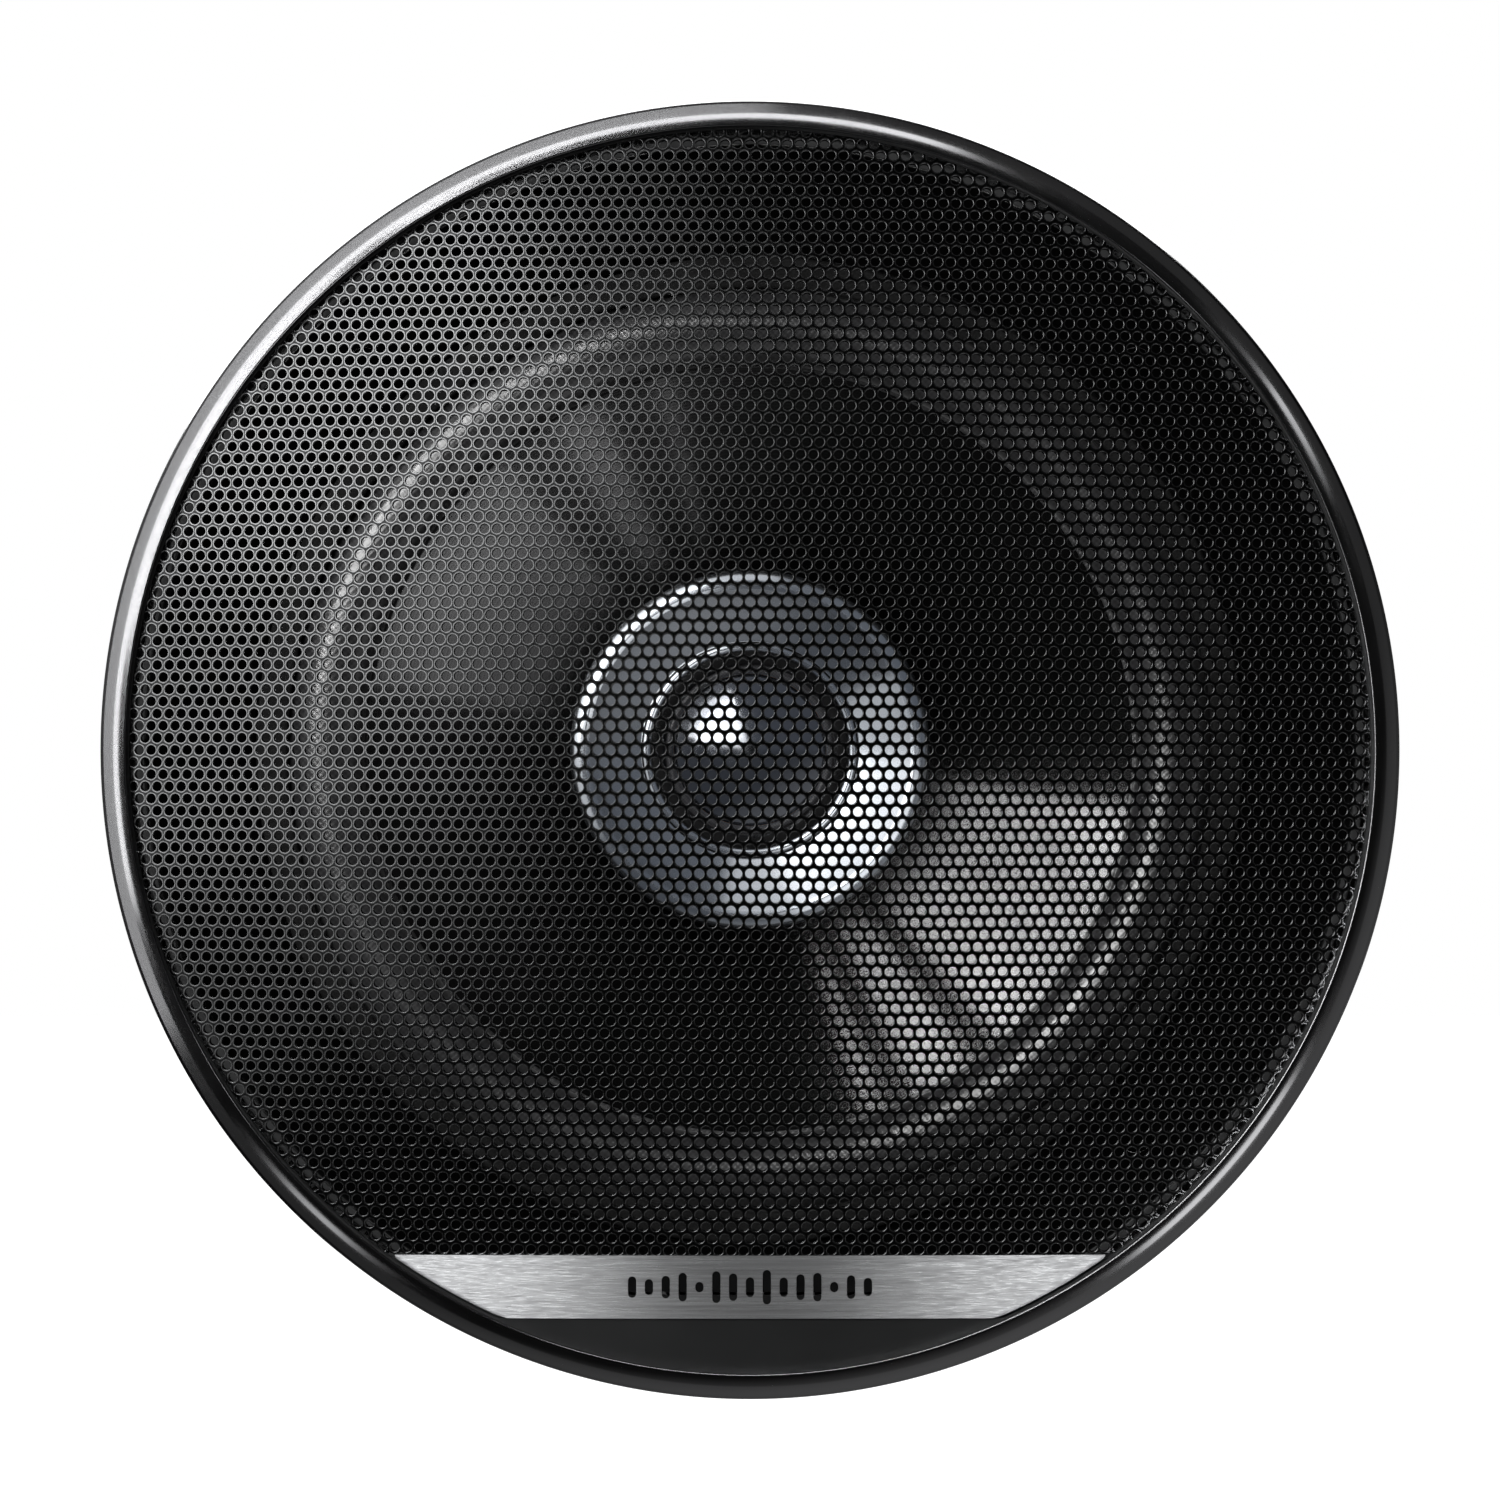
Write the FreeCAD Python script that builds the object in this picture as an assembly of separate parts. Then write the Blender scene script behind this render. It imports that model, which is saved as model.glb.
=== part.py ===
"""Coaxial car speaker, 16 cm class: a woofer with a tweeter on a centre post, under a domed press-on grille.

Every piece is drawn about its own Z axis, which runs through the speaker from back to front, with z = 0 on
the flange's rear face, where the speaker bears on a door panel. The last step turns the whole speaker so
that it faces -Y with +Z up, as it hangs in a door. Millimetres.
"""

import FreeCAD, Part
import math
import os

V = FreeCAD.Vector
Z_AXIS = V(0, 0, 1)
ORIGIN = V(0, 0, 0)

# ---- Driving dimensions: radii from the speaker's axis, heights from the flange's rear face --------------

# Grille
GRILLE_R = 85.0  # outside of the trim ring, and of the whole speaker
TRIM_RIDGE_R = 83.2  # where the trim's steep outer bevel meets its flatter inner band
TRIM_INNER_R = 81.6
TRIM_RIDGE_Z = 8.0
TRIM_TOP_Z = 8.7
TRIM_WALL_R = 82.8  # inside of the trim's skirt, outside of the grille base
SKIRT_Z = 0.6  # lower edge of trim and base, just clear of the panel
MESH_R = 81.2
MESH_EDGE_Z = 7.0  # outer surface of the sheet at its rim
MESH_THICKNESS = 0.8
MESH_SKIRT_Z = 5.0
DOME_R = 272.0  # radius of the sheet's shallow dome
BASE_WALL_R = 80.3
BASE_LEDGE_R = 79.3
BASE_LEDGE_Z = 4.2
GRIP_RIB_COUNT = 12
BADGE_TOP_Y = -66.0
BADGE_BOTTOM_Y = -74.3
BADGE_THICKNESS = 0.8
BADGE_PROUD = 0.3  # how far the badge stands above the dome
SEAT_GAP = 0.1  # glue under the badge, and room under the sheet
BADGE_R = 81.0
PANEL_THICKNESS = 2.0
MARK_BARS = 15
MARK_PITCH = 2.2
MARK_BAR_WIDTH = 1.1
MARK_BAR_HEIGHTS = (1.4, 4.6)
MARK_DEPTH = 0.25

# Mounting
FLANGE_R = 78.0
STEEL = 1.0  # sheet thickness of the basket
MOUNTING_RING_R = 79.4
MOUNTING_RING_INNER_R = 65.0
MOUNTING_RING_Z = 3.6
SCREW_CIRCLE_R = 71.5
SCREW_HOLE_R = 2.25
SCREW_COUNT = 4
PEG_R = 1.5

# Woofer's moving parts
CONE_NECK_R = 13.0
CONE_NECK_Z = -15.5
CONE_RIM_R = 50.3
CONE_RIM_Z = -1.5
CONE_THICKNESS = 0.6
CONE_COLLAR = 1.4
ROLL_OUTER_R = 60.2
ROLL_HEIGHT = 4.3
SURROUND_THICKNESS = 0.4
SURROUND_EDGE_R = 64.0
SURROUND_GLUE_LAND = 1.6
GASKET_INNER_R = 60.6
GASKET_OUTER_R = 64.7
FORMER_R = 12.7
FORMER_WALL = 0.25
FORMER_LOW_Z = -33.0
FORMER_HIGH_Z = -14.6
COIL_LOW_Z = -30.5
COIL_HIGH_Z = -21.5
COIL_DEPTH = 0.5
SPIDER_Z = -17.1  # top of the spider's outer land
SPIDER_OUTER_R = 44.0
SPIDER_LAND = 5.6
SPIDER_THICKNESS = 0.4
SPIDER_WAVES = 6
SPIDER_WAVE_HEIGHT = 0.9

# Magnet system
POLE_R = 12.3
POLE_TOP_Z = -23.0
PLATE_HOLE_R = 13.9
TOP_PLATE_Z = (-28.0, -24.0)
MAGNET_Z = (-38.0, -28.0)
BACK_PLATE_Z = (-42.0, -38.0)
PLATE_R = 35.0
MAGNET_R = 38.0
MAGNET_HOLE_R = 17.0
BORE_R = 3.0
NUT_POCKET_R = 5.6
NUT_POCKET_DEPTH = 1.9
NUT_ACROSS_FLATS = 9.0
RIVET_CIRCLE_R = 26.0
RIVET_R = 1.6
RIVET_HEAD_R = 3.0
RIVET_HEAD = 0.8
RIVET_COUNT = 6

# Basket
WALL_TOP_R = 60.6
FLOOR_Z = -23.0
LEDGE_Z = -17.5
WINDOW_COUNT = 6
WINDOW_HALF_ANGLE = 21.0
WINDOW_Z = (-15.4, -4.2)

# Terminals: the board lies behind a tab of the basket, at the top of the speaker
TAB_HALF_WIDTH = 13.5
TAB_Y = (43.0, 50.5)
BOARD_Y = (44.5, 59.5)
BOARD_THICKNESS = 1.6
BOARD_FRONT_Z = LEDGE_Z - STEEL
BOARD_BACK_Z = BOARD_FRONT_Z - BOARD_THICKNESS
BLADE_X = 6.5
BLADE_PAD_Y = 51.2
BLADE_Y = 57.4
BLADE_THICKNESS = 0.8
BLADE_TIP_Z = -29.0
BLADE_WIDTHS = {"terminal_positive": 6.3, "terminal_negative": 4.8}
TERMINAL_RIVET_Y = 53.2
BOARD_RIVET = (11.2, 47.4)  # x and y
SMALL_RIVET_R = 1.1
SMALL_HEAD_R = 1.9
SMALL_HEAD = 0.6
CAPACITOR_R = 4.2
CAPACITOR_LENGTH = 13.0
CAPACITOR_Y = 46.6
CAPACITOR_Z = BOARD_BACK_Z - CAPACITOR_R - 0.1

# Tweeter
HORN_R = 23.5
HORN_LIP_Z = 11.9
THROAT_R = 12.95
RIDGE_R = 14.1
HORN_FOOT_Z = 4.9
CUP_R = 14.0
CUP_WALL = 1.7
CUP_LOW_Z = -4.0
CUP_FLOOR = 1.6
TWEETER_YOKE_R = 12.2
TWEETER_YOKE_WALL = 1.5
TWEETER_YOKE_FLOOR = 1.4
TWEETER_PLATE_Z = 3.0  # front of the tweeter's pole plate and of its yoke
TWEETER_MAGNET_R = 8.6
TWEETER_PLATE_R = 9.3
TWEETER_PLATE = 1.6
TWEETER_COIL_R = 9.75
DOME_FILM = 0.2
DOME_RIM_R = 9.95
DOME_RIM_Z = 5.1
DOME_HEIGHT = 3.3
DOME_ROLL_R = 11.1
DOME_ROLL_HEIGHT = 0.6
CLAMP_Z = (5.3, 6.0)
POST_HOLE_R = 1.6
POST_MOUTH_R = 2.65
POST_STEM_R = 4.5
POST_FLANGE_R = 9.0
POST_FLANGE = 2.0

# Wires
LEAD_R = 0.5
LEAD_SPACING = 0.75  # half the distance between the two cores
TINSEL_R = 0.45
PAD_R = 30.0  # where the tinsel leads meet the cone, and where their pads are
PAD_AZIMUTH = 12.5  # degrees either side of the vertical
PAD_THICKNESS = 0.6
CAPACITOR_WIRE_R = 0.3


# ---- Small helpers ---------------------------------------------------------------------------------------


def lathe(start, *steps):
    """Turns a closed outline about the Z axis. A step is a point (r, z), or (via, end) for an arc."""
    here = V(start[0], 0, start[1])
    edges = []
    for step in list(steps) + [start]:
        if isinstance(step[0], tuple):
            via, end = (V(r, 0, z) for r, z in step)
            edges.append(Part.Arc(here, via, end).toShape())
        else:
            end = V(step[0], 0, step[1])
            if (end - here).Length > 1e-7:
                edges.append(Part.LineSegment(here, end).toShape())
        here = end
    return turned(edges)


def turned(edges):
    """The solid of revolution of a closed outline's edges about the Z axis."""
    face = Part.Face(Part.Wire(edges))
    solid = face.revolve(ORIGIN, Z_AXIS, 360)
    return solid if solid.Volume > 0 else solid.reversed()


def thickened(path, thickness):
    """A strip of even thickness beside a path of (r, z) points: its outline, offset to the path's right."""
    normals = []
    for (r0, z0), (r1, z1) in zip(path, path[1:]):
        length = math.hypot(r1 - r0, z1 - z0)
        normals.append(((z1 - z0) / length, -(r1 - r0) / length))
    far = []
    for i, (r, z) in enumerate(path):
        before = normals[max(i - 1, 0)]
        after = normals[min(i, len(normals) - 1)]
        share = thickness / (1 + before[0] * after[0] + before[1] * after[1])
        far.append((r + share * (before[0] + after[0]), z + share * (before[1] + after[1])))
    return path + far[::-1]


def ring(r_inner, r_outer, z_low, z_high):
    """A plain washer or tube about the Z axis."""
    return lathe((r_inner, z_low), (r_outer, z_low), (r_outer, z_high), (r_inner, z_high))


def rod(r, z_low, z_high, x=0.0, y=0.0):
    """A round pin parallel to the Z axis."""
    return Part.makeCylinder(r, z_high - z_low, V(x, y, z_low))


def block(x, y, z):
    """A box from three (low, high) pairs."""
    return Part.makeBox(x[1] - x[0], y[1] - y[0], z[1] - z[0], V(x[0], y[0], z[0]))


def on_circle(radius, count, first_angle=0.0):
    """Evenly spaced (x, y) points on a circle about the axis."""
    angles = [math.radians(first_angle + 360.0 * i / count) for i in range(count)]
    return [(radius * math.cos(a), radius * math.sin(a)) for a in angles]


def joined(shapes):
    """One solid from shapes that meet."""
    solid = shapes[0].fuse(shapes[1:]).removeSplitter()
    return solid.Solids[0] if len(solid.Solids) == 1 else solid


def group(shapes):
    """Separate solids that share one node."""
    return Part.makeCompound(list(shapes))


def tube(points, radius, bend_share=0.45):
    """A round wire along straight runs joined by tangent arcs as large as the runs beside them allow."""
    p = [V(*point) for point in points]
    edges = []
    here = p[0]
    tightest = math.inf
    for before, corner, after in zip(p, p[1:], p[2:]):
        into, out = corner - before, after - corner
        trim = bend_share * min(into.Length, out.Length)
        into.normalize()
        out.normalize()
        start, end = corner - into * trim, corner + out * trim
        half_turn = into.getAngle(out) / 2
        bend_radius = trim / math.tan(half_turn)
        tightest = min(tightest, bend_radius)
        inward = (out - into).normalize()
        middle = corner + inward * (bend_radius / math.cos(half_turn) - bend_radius)
        edges.append(Part.LineSegment(here, start).toShape())
        edges.append(Part.Arc(start, middle, end).toShape())
        here = end
    edges.append(Part.LineSegment(here, p[-1]).toShape())
    path = Part.Wire(edges)
    first_run = p[1] - p[0]
    section = Part.Wire(Part.Circle(p[0], first_run, radius).toShape())
    wire = path.makePipeShell([section], True, True)
    expected = math.pi * radius**2 * path.Length
    if abs(wire.Volume / expected - 1) > 0.02:
        raise ValueError("a wire's volume is not its section times its length")
    print(f"wire of radius {radius}: {path.Length:.1f} long, tightest bend {tightest:.2f}")
    return wire


def dome_z(r, offset=0.0):
    """Height of the grille's dome at radius r, offset outwards along its normal."""
    centre_z = MESH_EDGE_Z - math.sqrt(DOME_R**2 - MESH_R**2)
    return centre_z + math.sqrt((DOME_R + offset) ** 2 - r**2)


def dome_slab(offset, thickness, r_outer):
    """A slab of the grille's dome: its front face is offset from the sheet's, out to r_outer."""
    back = offset - thickness
    mid = r_outer / 2
    return lathe(
        (0, dome_z(0, back)),
        ((mid, dome_z(mid, back)), (r_outer, dome_z(r_outer, back))),
        (r_outer, dome_z(r_outer, offset)),
        ((mid, dome_z(mid, offset)), (0, dome_z(0, offset))),
    )


def below_chord(y_top, y_bottom=-100.0, x_half=100.0):
    """A tall block covering the band between two horizontal chords."""
    return block((-x_half, x_half), (y_bottom, y_top), (-5, 40))


# ---- Grille ----------------------------------------------------------------------------------------------


def grille_trim_ring():
    """Glossy outer ring: a steep outer bevel, a crisp ridge, and a flatter band that rises to the inner edge."""
    ease = 0.12
    return lathe(
        (TRIM_WALL_R, SKIRT_Z),
        (GRILLE_R, SKIRT_Z),
        (GRILLE_R, TRIM_RIDGE_Z - 1.9),
        ((GRILLE_R - 0.15, TRIM_RIDGE_Z - 1.4), (GRILLE_R - 0.45, TRIM_RIDGE_Z - 1.0)),
        (TRIM_RIDGE_R + ease, TRIM_RIDGE_Z - ease / 2),
        (TRIM_RIDGE_R - ease, TRIM_RIDGE_Z + ease / 2),
        (TRIM_INNER_R + 0.3, TRIM_TOP_Z),
        ((TRIM_INNER_R + 0.08, TRIM_TOP_Z - 0.08), (TRIM_INNER_R, TRIM_TOP_Z - 0.3)),
        (TRIM_INNER_R, MESH_EDGE_Z - 0.1),
        (TRIM_WALL_R, MESH_EDGE_Z - 0.1),
    )


def grille_mesh():
    """Domed steel sheet with a short turned-back rim, cut off along the badge. Its holes are not cut here."""
    rim_r = MESH_R - MESH_THICKNESS
    mid = MESH_R / 2
    sheet = lathe(
        (0, dome_z(0, -MESH_THICKNESS)),
        ((mid, dome_z(mid, -MESH_THICKNESS)), (rim_r, dome_z(rim_r, -MESH_THICKNESS))),
        (rim_r, MESH_SKIRT_Z),
        (MESH_R, MESH_SKIRT_Z),
        (MESH_R, MESH_EDGE_Z),
        ((mid, dome_z(mid)), (0, dome_z(0))),
    )
    return sheet.cut(below_chord(BADGE_TOP_Y + 0.05)).Solids[0]


def grille_base():
    """Plastic carrier: ring, ledge and groove for the sheet, grip ribs, and the smooth panel below the badge."""
    wall_top = MESH_EDGE_Z - 0.1
    groove_r = MESH_R + 0.1
    carrier = lathe(
        (BASE_LEDGE_R, BASE_LEDGE_Z),
        (BASE_WALL_R, BASE_LEDGE_Z),
        (BASE_WALL_R, SKIRT_Z),
        (TRIM_WALL_R, SKIRT_Z),
        (TRIM_WALL_R, wall_top),
        (groove_r, wall_top),
        (groove_r, MESH_SKIRT_Z),
        (MESH_R - MESH_THICKNESS, MESH_SKIRT_Z),
        (MESH_R - MESH_THICKNESS, 6.0),
        (BASE_LEDGE_R, 6.0),
    )
    rib_inner = MOUNTING_RING_R + 0.1
    ribs = [
        block((rib_inner, BASE_WALL_R + 0.3), (-1.5, 1.5), (1.2, BASE_LEDGE_Z + 0.4)).rotated(
            ORIGIN, Z_AXIS, 360.0 * i / GRIP_RIB_COUNT
        )
        for i in range(GRIP_RIB_COUNT)
    ]
    chord = BADGE_TOP_Y - 0.4
    panel = dome_slab(0, PANEL_THICKNESS, groove_r + 0.4).common(below_chord(chord))
    seat = dome_slab(BADGE_PROUD, BADGE_THICKNESS + SEAT_GAP, groove_r + 1).common(below_chord(0, BADGE_BOTTOM_Y - 0.1))
    web = dome_slab(-MESH_THICKNESS - SEAT_GAP, 20, groove_r + 0.4).common(
        block((-60, 60), (chord - 1.6, chord), (BASE_LEDGE_Z, 30))
    )
    fill = ring(BASE_LEDGE_R, groove_r + 0.4, BASE_LEDGE_Z, wall_top - 0.05).common(below_chord(chord))
    return joined([carrier, fill, panel, web] + ribs).cut(seat).Solids[0]


def badge_outline():
    """Prism over the badge: a band between two chords with rounded ends, following the grille's edge."""
    band = block((-90, 90), (BADGE_BOTTOM_Y, BADGE_TOP_Y), (0, 20)).common(rod(BADGE_R, 0, 20))
    corners = [e for e in band.Edges if abs(e.tangentAt(e.FirstParameter).z) > 0.99]
    return band.makeFillet(0.5, corners)


def mark_bars():
    """Prisms of the generic mark: a row of round-ended bars whose heights rise and fall along the row."""
    low, high = MARK_BAR_HEIGHTS
    middle_y = (BADGE_TOP_Y + BADGE_BOTTOM_Y) / 2
    r = MARK_BAR_WIDTH / 2
    bars = []
    for i in range(MARK_BARS):
        x = (i - (MARK_BARS - 1) / 2) * MARK_PITCH
        swing = math.cos(1.25 * i * math.pi / 2) * math.cos((i / (MARK_BARS - 1) - 0.5) * 2.2)
        half = (low + (high - low) * abs(swing)) / 2
        straight = block((x - r, x + r), (middle_y - half + r, middle_y + half - r), (0, 20))
        ends = [rod(r, 0, 20, x, middle_y + s * (half - r)) for s in (-1, 1)]
        bars.append(joined([straight] + ends))
    return bars


def mark_slab():
    """The thin layer of the badge's front face that the mark is cut into."""
    return dome_slab(BADGE_PROUD, MARK_DEPTH, BADGE_R)


def badge_plate():
    """Brushed metal badge, bowed like the dome, with pockets for the mark."""
    plate = dome_slab(BADGE_PROUD, BADGE_THICKNESS, BADGE_R + 1).common(badge_outline())
    pockets = group(mark_slab().common(bar) for bar in mark_bars())
    return plate.cut(pockets).Solids[0]


def badge_mark():
    """Dark inlay that fills the badge's pockets."""
    return group(mark_slab().common(bar).Solids[0] for bar in mark_bars())


# ---- Basket and mounting ring ----------------------------------------------------------------------------


def basket():
    """Pressed steel frame: flange, windowed wall, spider ledge, floor, and the tab for the terminal board."""
    rear_face = [
        (PLATE_HOLE_R + 0.7, FLOOR_Z - STEEL),
        (38.6, FLOOR_Z - STEEL),
        (40.6, LEDGE_Z - STEEL),
        (46.0, LEDGE_Z - STEEL),
        (48.0, -14.2),
        (61.2, -5.4),
        (WALL_TOP_R + 1.2, 0.0),
        (FLANGE_R, 0.0),
    ]
    outline = thickened(rear_face, -STEEL)
    pressing = lathe(*outline)
    cutters = []
    for i in range(WINDOW_COUNT):
        window = ring(44.0, 62.5, *WINDOW_Z)
        angle = 90 + 360.0 * i / WINDOW_COUNT
        cutters.append(window.common(sector(angle, WINDOW_HALF_ANGLE, 70, -20, 0)))
    holes = [rod(SCREW_HOLE_R, -2, 3, x, y) for x, y in on_circle(SCREW_CIRCLE_R, SCREW_COUNT, 45)]
    pegs = [rod(PEG_R + 0.05, -2, 3, x, y) for x, y in on_circle(SCREW_CIRCLE_R, SCREW_COUNT)]
    rivets = [rod(RIVET_R, -30, -20, x, y) for x, y in on_circle(RIVET_CIRCLE_R, RIVET_COUNT)]
    tab = block((-TAB_HALF_WIDTH, TAB_HALF_WIDTH), TAB_Y, (LEDGE_Z - STEEL, LEDGE_Z))
    board_rivets = [rod(SMALL_RIVET_R, -25, -10, s * BOARD_RIVET[0], BOARD_RIVET[1]) for s in (-1, 1)]
    frame = joined([pressing.cut(cutters), tab])
    return frame.cut(holes + pegs + rivets + board_rivets).Solids[0]


def sector(angle, half_angle, radius, z_low, z_high):
    """A wedge about the axis, centred on an angle in degrees."""
    a, b = (math.radians(angle + s * half_angle) for s in (-1, 1))
    reach = radius / math.cos(math.radians(half_angle))
    corners = [ORIGIN, V(math.cos(a), math.sin(a), 0) * reach, V(math.cos(b), math.sin(b), 0) * reach, ORIGIN]
    face = Part.Face(Part.makePolygon(corners))
    face.translate(V(0, 0, z_low))
    return face.extrude(V(0, 0, z_high - z_low))


def mounting_ring():
    """Plastic ring that the grille presses onto, pegged to the flange and open for the door screws."""
    body = lathe(
        (MOUNTING_RING_INNER_R, STEEL),
        (MOUNTING_RING_R, STEEL),
        (MOUNTING_RING_R, MOUNTING_RING_Z - 1.2),
        ((MOUNTING_RING_R - 0.35, MOUNTING_RING_Z - 0.5), (MOUNTING_RING_R - 1.2, MOUNTING_RING_Z - 0.2)),
        ((72.5, MOUNTING_RING_Z + 0.15), (MOUNTING_RING_INNER_R, MOUNTING_RING_Z)),
    )
    holes = [rod(SCREW_HOLE_R, -2, 6, x, y) for x, y in on_circle(SCREW_CIRCLE_R, SCREW_COUNT, 45)]
    pegs = [rod(PEG_R, 0.1, STEEL + 0.5, x, y) for x, y in on_circle(SCREW_CIRCLE_R, SCREW_COUNT)]
    return joined([body.cut(holes)] + pegs)


def surround_gasket():
    """Foam ring that holds the surround's outer edge down on the flange."""
    low = STEEL + SURROUND_THICKNESS
    high = MOUNTING_RING_Z + 0.2
    return lathe(
        (GASKET_INNER_R, low),
        (GASKET_OUTER_R, low),
        (GASKET_OUTER_R, high - 0.3),
        (GASKET_OUTER_R - 0.3, high),
        (GASKET_INNER_R + 0.3, high),
        (GASKET_INNER_R, high - 0.3),
    )


# ---- Magnet system ---------------------------------------------------------------------------------------


def magnet():
    """Ferrite ring with eased edges."""
    low, high = MAGNET_Z
    ease = 0.8
    return lathe(
        (MAGNET_HOLE_R, low),
        (MAGNET_R - ease, low),
        (MAGNET_R, low + ease),
        (MAGNET_R, high - ease),
        (MAGNET_R - ease, high),
        (MAGNET_HOLE_R, high),
    )


def top_plate():
    """Steel washer in front of the magnet, drilled for the basket's rivets."""
    plate = ring(PLATE_HOLE_R, PLATE_R, *TOP_PLATE_Z)
    return plate.cut([rod(RIVET_R, -30, -20, x, y) for x, y in on_circle(RIVET_CIRCLE_R, RIVET_COUNT)])


def yoke():
    """Back plate and pole in one piece, bored for the tweeter's post, with a pocket for its nut."""
    low, high = BACK_PLATE_Z
    pocket = low + NUT_POCKET_DEPTH
    return lathe(
        (NUT_POCKET_R, low),
        (PLATE_R - 1.0, low),
        (PLATE_R, low + 1.0),
        (PLATE_R, high),
        (POLE_R, high),
        (POLE_R, POLE_TOP_Z - 0.5),
        (POLE_R - 0.5, POLE_TOP_Z),
        (BORE_R, POLE_TOP_Z),
        (BORE_R, pocket),
        (NUT_POCKET_R, pocket),
    )


def basket_rivets():
    """Rivets that hold the basket's floor on the top plate."""
    low = TOP_PLATE_Z[0]
    rivets = []
    for x, y in on_circle(RIVET_CIRCLE_R, RIVET_COUNT):
        shank = rod(RIVET_R, low, FLOOR_Z + 0.2, x, y)
        cap = Part.makeSphere(RIVET_HEAD_R * 1.6, V(x, y, FLOOR_Z + RIVET_HEAD - RIVET_HEAD_R * 1.6))
        head = cap.common(rod(RIVET_HEAD_R, FLOOR_Z, FLOOR_Z + 2, x, y))
        rivets.append(joined([shank, head]))
    return group(rivets)


# ---- Woofer's moving parts -------------------------------------------------------------------------------


def cone():
    """Straight-sided cone with a collar on the voice coil former and a flat rim for the surround."""
    front_face = [
        (CONE_RIM_R + 0.9, CONE_RIM_Z),
        (CONE_RIM_R, CONE_RIM_Z),
        (CONE_NECK_R + CONE_THICKNESS, CONE_NECK_Z),
        (CONE_NECK_R + CONE_THICKNESS, CONE_NECK_Z - CONE_COLLAR),
    ]
    return lathe(*thickened(front_face, -CONE_THICKNESS))


def surround():
    """Half-roll suspension between the cone's rim and the basket's flange."""
    middle = (CONE_RIM_R + ROLL_OUTER_R) / 2
    inner_z = CONE_RIM_Z
    outer_z = STEEL
    t = SURROUND_THICKNESS
    crest = outer_z + ROLL_HEIGHT
    land_r = CONE_RIM_R - 0.1
    return lathe(
        (land_r, inner_z + 0.05),
        (CONE_RIM_R + 1.1, inner_z + 0.05),
        ((middle, crest - t), (ROLL_OUTER_R - t, outer_z + t / 2)),
        (ROLL_OUTER_R, outer_z),
        (SURROUND_EDGE_R, outer_z),
        (SURROUND_EDGE_R, outer_z + t),
        (ROLL_OUTER_R + 0.2, outer_z + t),
        ((middle, crest), (CONE_RIM_R + 0.5, inner_z + 0.05 + t)),
        (land_r, inner_z + 0.05 + t),
    )


def voice_coil_former():
    """Thin tube that carries the coil and joins the cone and spider to it."""
    return ring(FORMER_R, FORMER_R + FORMER_WALL, FORMER_LOW_Z, FORMER_HIGH_Z)


def voice_coil_winding():
    """Copper winding around the former."""
    inner = FORMER_R + FORMER_WALL
    return ring(inner, inner + COIL_DEPTH, COIL_LOW_Z, COIL_HIGH_Z)


def spider():
    """Corrugated cloth disc that centres the voice coil."""
    inner = FORMER_R + FORMER_WALL
    wave_start = inner + 1.2
    wave_end = SPIDER_OUTER_R - SPIDER_LAND
    middle_z = SPIDER_Z - SPIDER_THICKNESS / 2
    steps = SPIDER_WAVES * 8

    def edge(side):
        points = []
        for i in range(steps + 1):
            share = i / steps
            r = wave_start + (wave_end - wave_start) * share
            wave = SPIDER_WAVE_HEIGHT * math.sin(2 * math.pi * SPIDER_WAVES * share)
            points.append(V(r, 0, middle_z + wave + side * SPIDER_THICKNESS / 2))
        curve = Part.BSplineCurve()
        curve.interpolate(points)
        return curve.toShape(), points[0], points[-1]

    top, top_in, top_out = edge(1)
    bottom, bottom_in, bottom_out = edge(-1)
    corners = [
        top_out,
        V(SPIDER_OUTER_R, 0, top_out.z),
        V(SPIDER_OUTER_R, 0, bottom_out.z),
        bottom_out,
    ]
    inner_corners = [bottom_in, V(inner, 0, bottom_in.z), V(inner, 0, top_in.z), top_in]
    edges = [top]
    edges += [Part.LineSegment(a, b).toShape() for a, b in zip(corners, corners[1:])]
    edges.append(bottom)
    edges += [Part.LineSegment(a, b).toShape() for a, b in zip(inner_corners, inner_corners[1:])]
    return turned(Part.__sortEdges__(edges))


def cone_back_z(r):
    """Height of the cone's rear surface at radius r."""
    slope = (CONE_RIM_Z - CONE_NECK_Z) / (CONE_RIM_R - CONE_NECK_R - CONE_THICKNESS)
    front = CONE_NECK_Z + (r - CONE_NECK_R - CONE_THICKNESS) * slope
    return front - CONE_THICKNESS * math.hypot(1, slope)


def behind_cone(side, depth, lean=0.0):
    """A point behind one tinsel pad: depth along the cone's rear normal, leaned outwards by some degrees."""
    slope = math.atan2(CONE_RIM_Z - CONE_NECK_Z, CONE_RIM_R - CONE_NECK_R - CONE_THICKNESS)
    away = slope + math.radians(lean)
    r = PAD_R + depth * math.sin(away)
    azimuth = math.radians(PAD_AZIMUTH)
    return V(
        side * r * math.sin(azimuth),
        r * math.cos(azimuth),
        cone_back_z(PAD_R) - depth * math.cos(away),
    )


def tinsel_pads():
    """Solder pads on the back of the cone, where the tinsel leads end."""
    pads = []
    for side in (-1, 1):
        root = behind_cone(side, 0.08)
        away = (behind_cone(side, 1.0) - root).normalize()
        pads.append(Part.makeCylinder(1.8, PAD_THICKNESS, root, away))
    return group(pads)


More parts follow.
